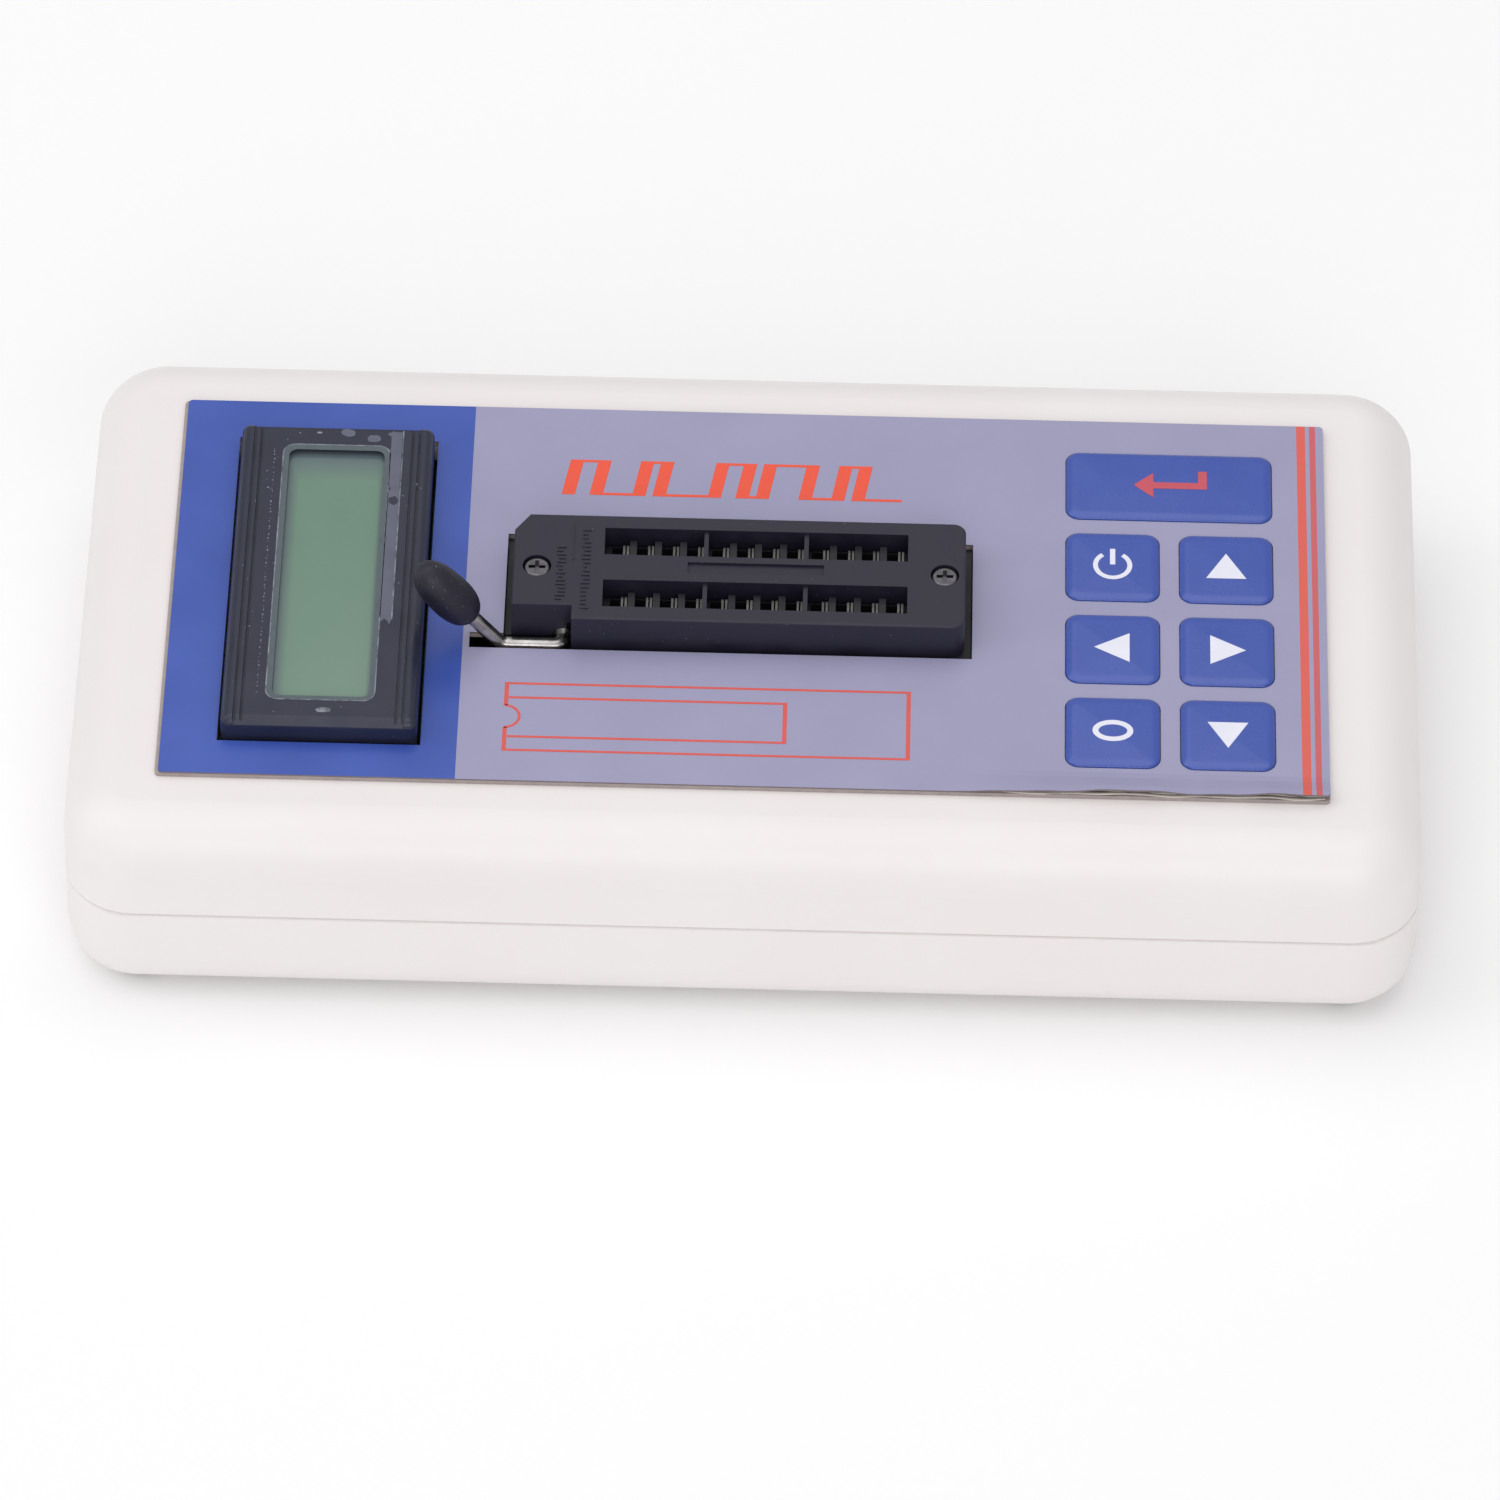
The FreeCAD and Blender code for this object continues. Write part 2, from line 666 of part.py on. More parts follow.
def display_bezel():
    z0 = display_board_top
    body = centred(bezel_x, bezel_y, bezel_width, bezel_length, z0, bezel_top)
    body = body.makeFillet(bezel_corner_radius, upright_edges(body))
    long_edges = [e for e in edges_at_height(body, bezel_top)
                  if e.BoundBox.YLength > bezel_length / 2]
    body = body.makeFillet(bezel_shoulder, long_edges)
    cuts = [centred(bezel_x, bezel_y, bezel_width - 2 * bezel_wall, bezel_length - 2 * bezel_wall,
                    z0 - over, bezel_top - bezel_wall),
            upper_glass(fit_gap, z0, bezel_top - window_skin),
            rounded(bezel_x, bezel_y, window_width, window_length, z0, bezel_top + over, window_radius)]
    cuts += [bezel_end_wedge(side) for side in (-1, 1)]
    for inset in groove_insets:
        for side in (-1, 1):
            cuts.append(centred(bezel_x + side * (bezel_width / 2 - inset), bezel_y, groove_width,
                                bezel_length + 2 * over, bezel_top - groove_depth, bezel_top + over))
    body = body.cut(all_of(cuts))
    mouth_edges = [e for e in edges_at_height(body, bezel_top)
                   if abs(e.BoundBox.Center.x - bezel_x) < window_width / 2 + near
                   and abs(e.BoundBox.Center.y - bezel_y) < window_length / 2 + near]
    return body.makeChamfer(window_chamfer, mouth_edges)


def display_glass():
    """Two glass plates; the lower one is wider and carries the contact edge."""
    margin = bezel_wall + fit_gap
    lower = centred(bezel_x, bezel_y, bezel_width - 2 * margin, bezel_length - 2 * margin,
                    glass_bottom, glass_middle)
    return lower.fuse(upper_glass(0, glass_middle, glass_top)).removeSplitter()


def display_diffuser():
    return centred(bezel_x, bezel_y, window_width + 2 * diffuser_margin, window_length + 2 * diffuser_margin,
                   display_board_top, glass_bottom)


def zebra_strips():
    out = bezel_width / 2 - bezel_wall - fit_gap - strip_edge_gap - strip_width / 2
    strips = [centred(bezel_x + side * out, bezel_y, strip_width, window_length + 2 * strip_over,
                      display_board_top, glass_bottom) for side in (-1, 1)]
    return Part.makeCompound(strips)


def display_board():
    plate = centred(bezel_x, bezel_y, bezel_width + 2 * display_board_margin,
                    bezel_length + 2 * display_board_margin, display_board_bottom, display_board_top)
    holes = [post(header_x, y, display_board_bottom - over, display_board_top + over, pin_hole_radius)
             for y in header_ys]
    return plate.cut(all_of(holes))


def display_controller():
    """The driver chip's drop of black resin, on the underside of the display board."""
    foot = display_board_bottom - resin_height
    drop = post(bezel_x + resin_offset, bezel_y, foot, display_board_bottom, resin_radius)
    return drop.makeFillet(resin_edge_radius, edges_at_height(drop, foot))


def display_header():
    strip = centred(header_x, bezel_y, header_width, pin_pitch * header_pins, board_top,
                    display_board_bottom)
    pins = [centred(header_x, y, pin_size, pin_size, board_bottom - pin_tail, display_board_top + pin_head)
            for y in header_ys]
    return all_of([strip] + pins)


# ---------------------------------------------------------------- chip socket
def cam_starts():
    return (-cam_inner_y - cam_width, cam_inner_y)


def shaft_way():
    """The lever shaft's bore and its cam cavities, as one solid."""
    bore = along_y(pivot_x, pivot_z, notch_inner_y - over, -notch_inner_y, shaft_radius + shaft_gap)
    rooms = [along_y(pivot_x, pivot_z, start - slide_gap, start + cam_width + slide_gap, cam_cavity_radius)
             for start in cam_starts()]
    return all_of([bore] + rooms)


def corner_wedge(z0, z1):
    """The prism that takes off the cover's rear corner at the lever end."""
    cut_x, cut_y = chamfered_corner
    slope = cut_y / cut_x
    rear = socket_width / 2
    corners = [Vector(socket_left - over, rear - cut_y - slope * over, z0),
               Vector(socket_left + cut_x + over, rear + slope * over, z0),
               Vector(socket_left - over, rear + slope * over, z0)]
    return Part.Face(Part.makePolygon(corners + corners[:1])).extrude(Vector(0, 0, z1 - z0))


def socket_cover():
    z0, z1 = split_z, socket_top
    low, high = z0 - over, z1 + over
    body = centred(socket_centre_x, 0, socket_length, socket_width, z0, z1)
    right_corners = [e for e in upright_edges(body) if e.Vertexes[0].Point.x > 0]
    body = body.makeFillet(cover_corner_radius, right_corners).cut(corner_wedge(low, high))
    body = body.makeFillet(cover_top_radius, edges_at_height(body, z1))
    roof = z1 - cover_roof
    cuts = [block(socket_left - over, notch_right, -socket_width / 2 - over, notch_inner_y, low, high),
            block(slider_left - slider_lead, slider_right + slider_stroke + slide_gap,
                  -slider_half_y - slide_gap, slider_half_y + slide_gap, low, roof),
            shaft_way()]
    left, right = cell_edges[0] - window_end_gap, cell_edges[-1] + window_end_gap
    cuts += [block(left, right, y - slot_width / 2, y + slot_width / 2, z0, high) for y in row_ys]
    for x in cover_screw_xs:
        cuts.append(post(x, 0, low, z1, cover_screw_radius + cover_head_gap))
        cuts.append(post(x, 0, z1 - cover_head_sunk - cover_head_height, high,
                         cover_head_radius + cover_head_gap))
    plate_x, plate_y, plate_depth = groove_plate
    cuts.append(centred(grid_x, groove_plate_y, plate_x, plate_y, z1 - plate_depth, high))
    body = body.cut(all_of(cuts))
    dividers = [centred(cell_edges[k], y, divider_thickness, slot_width, roof, z1 - divider_recess)
                for k in range(contacts_per_window, contact_count, contacts_per_window) for y in row_ys]
    return all_of([body] + dividers)


def socket_base():
    z0, z1 = board_top, split_z
    body = centred(socket_centre_x, 0, socket_length + 2 * base_margin, 2 * base_half_y, z0, z1)
    rim = centred(socket_centre_x, 0, socket_length + 2 * (socket_opening_gap_x - fit_gap),
                  socket_width + 2 * (socket_opening_gap_y - fit_gap), z1 - base_rim_height, z1)
    cuts = [block(socket_left - socket_opening_gap_x - over, notch_right, -socket_width, notch_inner_y,
                  pivot_z - rod_radius - arm_room, z1 + over),
            shaft_way()]
    for x in cover_screw_xs:
        cuts.append(post(x, 0, z0 + cover_screw_end, z1 + over, cover_screw_radius + thread_gap))
    pin_x, pin_y, _ = contact_pin
    for edge in cell_edges[:-1]:
        x = edge + blade_offset + blades_width / 2
        for y in row_ys:
            cuts.append(centred(x, y, blades_width + 2 * chamber_gap, blade_width + 2 * chamber_gap,
                                z0 + blade_lift - bridge_thickness, z1 + over))
            cuts.append(centred(x, y, pin_x + chamber_gap, pin_y + chamber_gap, z0 - over, z0 + blade_lift))
    return body.fuse(rim).cut(all_of(cuts))


def socket_slider():
    plate = block(slider_left, slider_right, -slider_half_y, slider_half_y, slider_bottom, slider_top)
    half = slot_width / 2
    slots = []
    ribs = []
    for n, edge in enumerate(cell_edges[:-1]):
        rib_x = edge + pin_pitch - rib_lead
        for y in row_ys:
            slots.append(block(rib_x - pin_pitch + rib_width, rib_x, y - half + slider_slot_gap,
                               y + half - slider_slot_gap, slider_bottom - over, slider_top + over))
            if (n + 1) % contacts_per_window:
                ribs.append(block(rib_x, rib_x + rib_width, y - half + rib_side_gap,
                                  y + half - rib_side_gap, slider_bottom, rib_top))
    return all_of([plate.cut(all_of(slots))] + ribs)


def contact(edge, y):
    """One forked contact: two spring blades on a bridge, with a pin down through the board."""
    left = edge + blade_offset
    right = left + blades_width
    foot = board_top + blade_lift
    front, back = y - blade_width / 2, y + blade_width / 2
    pin_x, pin_y, pin_reach = contact_pin
    return all_of([block(left, left + blade_thickness, front, back, foot, rib_top),
                   block(right - blade_thickness, right, front, back, foot, rib_top),
                   block(left, right, front, back, foot, foot + bridge_thickness),
                   centred((left + right) / 2, y, pin_x, pin_y, board_bottom - pin_reach, foot)])


def contact_row(y):
    return Part.makeCompound([contact(edge, y) for edge in cell_edges[:-1]])


def cover_screws():
    top = socket_top - cover_head_sunk
    foot = top - cover_head_height
    screws = []
    for x in cover_screw_xs:
        head = post(x, 0, foot, top, cover_head_radius)
        head = head.makeFillet(cover_head_edge, edges_at_height(head, top))
        shank = post(x, 0, board_top + cover_screw_end + sunk, foot, cover_screw_radius)
        screws.append(all_of([head, shank]).cut(cross_recess(x, 0, top, 1, cover_recess)))
    return Part.makeCompound(screws)


# ---------------------------------------------------------------- lever
rise = math.radians(rod_rise_deg)
bend_point = Vector(pivot_x - arm_length, arm_y, pivot_z)
rod_way = Vector(-math.cos(rise), 0, math.sin(rise))


def lever():
    """Shaft with two cams, crank arm along the socket's front, and the handle rod."""
    shaft = along_y(pivot_x, pivot_z, notch_inner_y, -notch_inner_y - shaft_end, shaft_radius)
    cams = [along_y(pivot_x, pivot_z + cam_offset, y, y + cam_width, cam_radius) for y in cam_starts()]
    tip = bend_point + rod_way * (rod_length - knob_inset)
    rod = bent_rod([(pivot_x, notch_inner_y + sunk, pivot_z), (pivot_x, arm_y, pivot_z), tuple(bend_point),
                    tuple(tip)], rod_radius, [rod_radius + fit_gap, arm_bend_radius])
    return all_of([shaft, rod] + cams)


def lever_knob():
    """A long, blunt egg-shaped grip, fuller towards the rod, bored for it."""
    steps = 16
    half = knob_length / 2
    blunt = 2 / knob_bluntness
    profile = []                # along the rod from its bend, and out from its axis
    for n in range(steps + 1):
        angle = math.pi * n / steps
        along = math.copysign(abs(math.cos(angle)) ** blunt, math.cos(angle))
        out = math.sin(angle) ** blunt * (1 + knob_fullness * along) if 0 < n < steps else 0
        profile.append(Vector(rod_length - half - half * along, knob_radius * out, 0))
    curve = Part.BSplineCurve()
    curve.interpolate(Points=profile)
    axis_line = Part.LineSegment(profile[-1], profile[0]).toShape()
    face = Part.Face(Part.Wire([curve.toShape(), axis_line]))
    egg = face.revolve(Vector(0, 0, 0), Vector(1, 0, 0), 360)
    bore_start = profile[0].x - over
    bore = Part.makeCylinder(rod_radius, rod_length - knob_inset - bore_start, Vector(bore_start, 0, 0),
                             Vector(1, 0, 0))
    egg = egg.cut(bore)
    egg.Placement = FreeCAD.Placement(bend_point, FreeCAD.Rotation(Vector(1, 0, 0), rod_way))
    return egg


# ---------------------------------------------------------------- main board
def main_board():
    plate = block(board_left, board_right, -board_half_y, board_half_y, board_bottom, board_top)
    low, high = board_bottom - over, board_top + over
    holes = [post(x, y, low, high, board_screw_radius + board_screw_gap) for x, y in board_screw_places]
    holes += [post(header_x, y, low, high, pin_hole_radius) for y in header_ys]
    for edge in cell_edges[:-1]:
        x = edge + blade_offset + blades_width / 2
        holes += [post(x, y, low, high, contact_hole_radius) for y in row_ys]
    return plate.cut(all_of(holes))


def board_screws():
    foot = board_bottom - board_head_height
    screws = []
    for x, y in board_screw_places:
        head = post(x, y, foot, board_bottom, board_head_radius)
        head = head.makeFillet(board_head_edge, edges_at_height(head, foot))
        shank = post(x, y, board_bottom, ceiling - board_screw_tip, board_screw_radius)
        screws.append(all_of([head, shank]).cut(cross_recess(x, y, foot, -1, board_recess)))
    return Part.makeCompound(screws)


def microcontroller():
    """A square flat package with leads on all four sides."""
    x, y = socket_centre_x, back_strip_y
    body_foot = board_top + chip_standoff
    body = rounded(x, y, 2 * chip_half, 2 * chip_half, body_foot, body_foot + chip_height, chip_corner_radius)
    length, width, thickness = chip_lead
    out = chip_half + length / 2 - chip_standoff
    parts = [body]
    for n in range(chip_leads):
        along = chip_lead_pitch * (n - (chip_leads - 1) / 2)
        for side in (-1, 1):
            parts.append(centred(x + side * out, y + along, length, width, board_top, board_top + thickness))
            parts.append(centred(x + along, y + side * out, width, length, board_top, board_top + thickness))
    return all_of(parts)


def crystal():
    x = socket_centre_x + crystal_x
    return all_of([rounded(x, back_strip_y, width, length, board_top, board_top + height, radius)
                   for width, length, height, radius in (crystal_can, crystal_flange)])


def capacitors():
    top = board_top + capacitor_height
    cans = [post(socket_centre_x + x, back_strip_y, board_top, top, capacitor_radius) for x in capacitor_xs]
    return Part.makeCompound([can.makeFillet(capacitor_edge, edges_at_height(can, top)) for can in cans])


def inductor():
    x = socket_centre_x + inductor_x
    flange, core = inductor_radii
    low, foot, high = (board_top + height for height in inductor_heights)
    return all_of([post(x, back_strip_y, board_top, low, flange), post(x, back_strip_y, low, foot, core),
                   post(x, back_strip_y, foot, high, flange)])


def resistors():
    """A series resistor for each socket contact, in a line in front of and behind the socket."""
    width, length, height = resistor
    y = base_half_y + resistor_gap + length / 2
    top = board_top + height
    return Part.makeCompound([centred(edge + pin_pitch / 2, side * y, width, length, board_top, top)
                              for edge in cell_edges[:-1] for side in (-1, 1)])


def tail_connector():
    """The keypad tail's socket on the board."""
    x = tail_x + circuit_thickness / 2
    body = centred(x, 0, circuit_thickness + 2 * connector_wall, tail_width + 2 * connector_wall,
                   board_top, board_top + connector_height)
    slot = centred(x, 0, circuit_thickness + fit_gap, tail_width + 2 * fit_gap, board_top + connector_floor,
                   board_top + connector_height + over)
    return body.cut(slot)


# ---------------------------------------------------------------- batteries
def cell_signs():
    """+1 where a cell's nub points to +Y, in turn, so that neighbours connect in series."""
    return [1 if n % 2 == 0 else -1 for n in range(cell_count)]


def batteries():
    cells = []
    for x, sign in zip(cell_xs, cell_signs()):
        nub_end = sign * (bay_length / 2 - plate_thickness)
        shoulder = nub_end - sign * nub_length
        far = shoulder - sign * cell_body_length
        body = along_y(x, cell_z, min(shoulder, far), max(shoulder, far), cell_radius)
        nub = along_y(x, cell_z, min(shoulder, nub_end), max(shoulder, nub_end), nub_radius)
        rims = [e for e in body.Edges if e.Closed]
        cells.append(all_of([body.makeFillet(cell_edge_radius, rims), nub]))
    return Part.makeCompound(cells)


def terminal_places():
    """Where the first and last contact plates send a tab up through the bay's roof."""
    return [(cell_xs[0], cell_signs()[0] * plate_y), (cell_xs[-1], -cell_signs()[-1] * plate_y)]


def battery_plates():
    low = cell_z - plate_width / 2
    high = cell_z + plate_width / 2
    plates = []
    for x, y in terminal_places():
        plate = centred(x, y, plate_width, plate_thickness, low, high)
        tab = centred(x, y, tab_width, plate_thickness, high - sunk, tab_top)
        plates.append(all_of([plate, tab]))
    for n in range(cell_count - 1):
        y = -cell_signs()[n] * plate_y
        middle = (cell_xs[n] + cell_xs[n + 1]) / 2
        plates.append(centred(middle, y, plate_width + cell_pitch, plate_thickness, low, high))
    return Part.makeCompound(plates)


def coil_spring(length):
    """A conical coil standing on z = 0, swept along a smooth curve in quarter turns."""
    quarters = 4 * spring_turns
    steps = 4 * quarters
    points = []
    for n in range(steps + 1):
        angle = 2 * math.pi * spring_turns * n / steps
        radius = spring_foot_radius + (spring_tip_radius - spring_foot_radius) * n / steps
        points.append(Vector(radius * math.cos(angle), radius * math.sin(angle), length * n / steps))
    curve = Part.BSplineCurve()
    curve.interpolate(Points=points)
    first, last = curve.FirstParameter, curve.LastParameter
    edges = []
    for n in range(quarters):
        quarter = curve.copy()
        quarter.segment(first + (last - first) * n / quarters, first + (last - first) * (n + 1) / quarters)
        edges.append(quarter.toShape())
    way = edges[0].tangentAt(edges[0].FirstParameter)
    ring = Part.Wire(Part.Circle(points[0], way, spring_wire_radius).toShape())
    return Part.Wire(edges).makePipeShell([ring], True, True)


def battery_springs():
    """A conical coil at each cell's flat end."""
    springs = []
    for x, sign in zip(cell_xs, cell_signs()):
        plate_face = -sign * (bay_length / 2 - plate_thickness)
        cell_end = sign * (bay_length / 2 - plate_thickness - nub_length - cell_body_length)
        coil = coil_spring(abs(plate_face - cell_end) - 2 * (spring_wire_radius + spring_gap))
        turn = FreeCAD.Rotation(Vector(0, 0, 1), Vector(0, sign, 0))
        foot = Vector(x, plate_face + sign * (spring_wire_radius + spring_gap), cell_z)
        coil.Placement = FreeCAD.Placement(foot, turn)
        springs.append(coil)
    return Part.makeCompound(springs)


def lead_points(number):
    """A battery lead: from its terminal tab, over the bay's roof, to the board's top."""
    x, y = terminal_places()[number]
    way = 1 if y > 0 else -1
    start_y = y - way * (plate_thickness / 2 + lead_radius)
    run_z = max(tab_top, board_top) + lead_lift
    landing_x = board_right - lead_landing_inset
    landing_y = way * (back_strip_y - lead_landing_y)
    turn_x, turn_y = lead_turn
    return [(x, start_y, tab_top - lead_start), (x, start_y, run_z),
            (x - turn_x, start_y - way * turn_y, run_z), (landing_x + lead_landing_run, landing_y, run_z),
            (landing_x, landing_y, run_z), (landing_x, landing_y, board_top)]


def battery_lead(number):
    return bent_rod(lead_points(number), lead_radius, lead_bends)


# ---------------------------------------------------------------- export
def main():
    nodes = {
        "top_shell": top_shell(),
        "bottom_shell": bottom_shell(),
        "battery_door": battery_door(),
        "case_screws": case_screws(),
        "graphic_overlay": graphic_overlay(),
        "keypad_spacer": keypad_spacer(),
        "keypad_circuit": keypad_circuit(),
        "display_bezel": display_bezel(),
        "display_glass": display_glass(),
        "display_diffuser": display_diffuser(),
        "display_zebra_strips": zebra_strips(),
        "display_board": display_board(),
        "display_controller": display_controller(),
        "display_header": display_header(),
        "socket_cover": socket_cover(),
        "socket_base": socket_base(),
        "socket_slider": socket_slider(),
        "socket_contacts_front": contact_row(row_ys[0]),
        "socket_contacts_rear": contact_row(row_ys[1]),
        "socket_cover_screws": cover_screws(),
        "lever": lever(),
        "lever_knob": lever_knob(),
        "main_board": main_board(),
        "board_screws": board_screws(),
        "microcontroller": microcontroller(),
        "crystal": crystal(),
        "capacitors": capacitors(),
        "inductor": inductor(),
        "resistors": resistors(),
        "tail_connector": tail_connector(),
        "batteries": batteries(),
        "battery_plates": battery_plates(),
        "battery_springs": battery_springs(),
        "battery_lead_positive": battery_lead(0),
        "battery_lead_negative": battery_lead(1),
    }
    for name, (x, y, size) in key_outlines().items():
        nodes["key_" + name] = key(x, y, size)
        nodes["dome_" + name] = dome(x, y)
    os.makedirs("parts", exist_ok=True)
    for name, shape in nodes.items():
        bad = [s for s in shape.Solids if not s.isValid()]
        print(name, "solids", len(shape.Solids), "invalid", len(bad), "volume", round(shape.Volume, 2))
        shape.exportStep("parts/" + name + ".step")


main()
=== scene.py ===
import bpy
import bmesh
import math
import random
from mathutils import Matrix, Vector


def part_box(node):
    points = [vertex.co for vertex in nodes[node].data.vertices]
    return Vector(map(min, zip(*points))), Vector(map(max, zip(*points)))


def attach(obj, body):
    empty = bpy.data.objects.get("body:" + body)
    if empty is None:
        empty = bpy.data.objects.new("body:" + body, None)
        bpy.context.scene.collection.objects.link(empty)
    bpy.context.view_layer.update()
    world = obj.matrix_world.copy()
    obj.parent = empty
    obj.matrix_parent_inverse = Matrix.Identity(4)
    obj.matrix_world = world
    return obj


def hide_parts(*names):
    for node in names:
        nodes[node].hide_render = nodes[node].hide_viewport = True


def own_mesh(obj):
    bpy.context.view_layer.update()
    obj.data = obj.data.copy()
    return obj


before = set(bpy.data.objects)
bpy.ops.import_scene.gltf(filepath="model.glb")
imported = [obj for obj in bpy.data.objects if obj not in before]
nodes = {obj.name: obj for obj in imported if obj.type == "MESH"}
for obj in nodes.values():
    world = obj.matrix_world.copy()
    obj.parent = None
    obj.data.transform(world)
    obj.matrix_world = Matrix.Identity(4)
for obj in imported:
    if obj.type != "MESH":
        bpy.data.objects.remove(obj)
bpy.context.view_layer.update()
print("frame loaded:", len(nodes), "nodes")

mm = 0.001
scene = bpy.context.scene


def toLinear(red, green, blue):
    # 0-255 screen colour to the linear colour that shaders take
    out = []
    for part in (red, green, blue):
        share = part / 255
        out.append(share / 12.92 if share <= 0.04045 else ((share + 0.055) / 1.055) ** 2.4)
    return tuple(out) + (1.0,)


class Finish:
    # a Principled material with object-space noise to hang colour, roughness and bump on

    def __init__(self, name, look):
        self.material = bpy.data.materials.new(name)
        self.material.use_nodes = True
        self.tree = self.material.node_tree
        self.shader = self.tree.nodes["Principled BSDF"]
        self.coords = self.add("ShaderNodeTexCoord")
        self.bumpSoFar = None
        self.shader.inputs["Base Color"].default_value = toLinear(*look["colour"])
        self.shader.inputs["Metallic"].default_value = look.get("metallic", 0.0)
        self.shader.inputs["Coat Weight"].default_value = look.get("coat", 0.0)
        self.shader.inputs["Coat Roughness"].default_value = look.get("coatRoughness", 0.1)
        self.colourOut = self.solid(look["colour"])
        if "shade" in look:
            self.mottle(look["shade"], look.get("mottleSize", 8.0), look.get("mottleMix", 0.5))
        self.roughnessRange(look["roughness"])
        for size, height in look.get("bumps", ()):
            self.bump(size, height)
        if "specks" in look:
            shade, size, start = look["specks"]
            self.speckle(shade, size, start)
        self.connectColour()

    def add(self, kind, **settings):
        node = self.tree.nodes.new(kind)
        for key, value in settings.items():
            setattr(node, key, value)
        return node

    def link(self, start, end):
        self.tree.links.new(start, end)

    def noise(self, sizeMm, detail=3.0):
        mapping = self.add("ShaderNodeMapping")
        mapping.inputs["Scale"].default_value = [1 / (sizeMm * mm)] * 3
        self.link(self.coords.outputs["Object"], mapping.inputs["Vector"])
        texture = self.add("ShaderNodeTexNoise")
        texture.inputs["Scale"].default_value = 1.0
        texture.inputs["Detail"].default_value = detail
        self.link(mapping.outputs["Vector"], texture.inputs["Vector"])
        return texture.outputs["Fac"]

    def ramp(self, value, low, high, start=0.0, end=1.0):
        node = self.add("ShaderNodeMapRange")
        node.inputs["From Min"].default_value = start
        node.inputs["From Max"].default_value = end
        node.inputs["To Min"].default_value = low
        node.inputs["To Max"].default_value = high
        self.link(value, node.inputs["Value"])
        return node.outputs["Result"]

    def solid(self, colour):
        node = self.add("ShaderNodeRGB")
        node.outputs[0].default_value = toLinear(*colour)
        return node.outputs[0]

    def mix(self, share, first, second):
        node = self.add("ShaderNodeMix", data_type="RGBA")
        if isinstance(share, float):
            node.inputs[0].default_value = share
        else:
            self.link(share, node.inputs[0])
        self.link(first, node.inputs[6])
        self.link(second, node.inputs[7])
        return node.outputs[2]

    def mottle(self, shade, sizeMm, amount):
        mask = self.ramp(self.noise(sizeMm), 0.0, amount, 0.3, 0.7)
        self.colourOut = self.mix(mask, self.colourOut, self.solid(shade))

    def speckle(self, shade, sizeMm, start):
        # small bright dust, where the noise peaks
        mask = self.ramp(self.noise(sizeMm, 2.0), 0.0, 0.8, start, start + 0.03)
        self.colourOut = self.mix(mask, self.colourOut, self.solid(shade))

    def roughnessRange(self, limits):
        value = self.ramp(self.noise(3.0), limits[0], limits[1], 0.3, 0.7)
        self.link(value, self.shader.inputs["Roughness"])

    def bump(self, sizeMm, heightMm):
        node = self.add("ShaderNodeBump")
        node.inputs["Strength"].default_value = 1.0
        node.inputs["Distance"].default_value = heightMm * mm
        self.link(self.noise(sizeMm, 4.0), node.inputs["Height"])
        if self.bumpSoFar:
            self.link(self.bumpSoFar, node.inputs["Normal"])
        self.bumpSoFar = node.outputs["Normal"]
        self.link(self.bumpSoFar, self.shader.inputs["Normal"])

    def axis(self, letter):
        split = self.add("ShaderNodeSeparateXYZ")
        self.link(self.coords.outputs["Object"], split.inputs[0])
        return split.outputs[letter]

    def math(self, operation, first, second=None):
        node = self.add("ShaderNodeMath", operation=operation)
        for socket, value in zip(node.inputs, (first, second)):
            if isinstance(value, (int, float)):
                socket.default_value = value
            elif value is not None:
                self.link(value, socket)
        return node.outputs[0]

    def band(self, value, low, high):
        # 1 between low and high, in metres, 0 outside
        above = self.math("GREATER_THAN", value, low)
        return self.math("MULTIPLY", above, self.math("LESS_THAN", value, high))

    def connectColour(self):
        self.link(self.colourOut, self.shader.inputs["Base Color"])


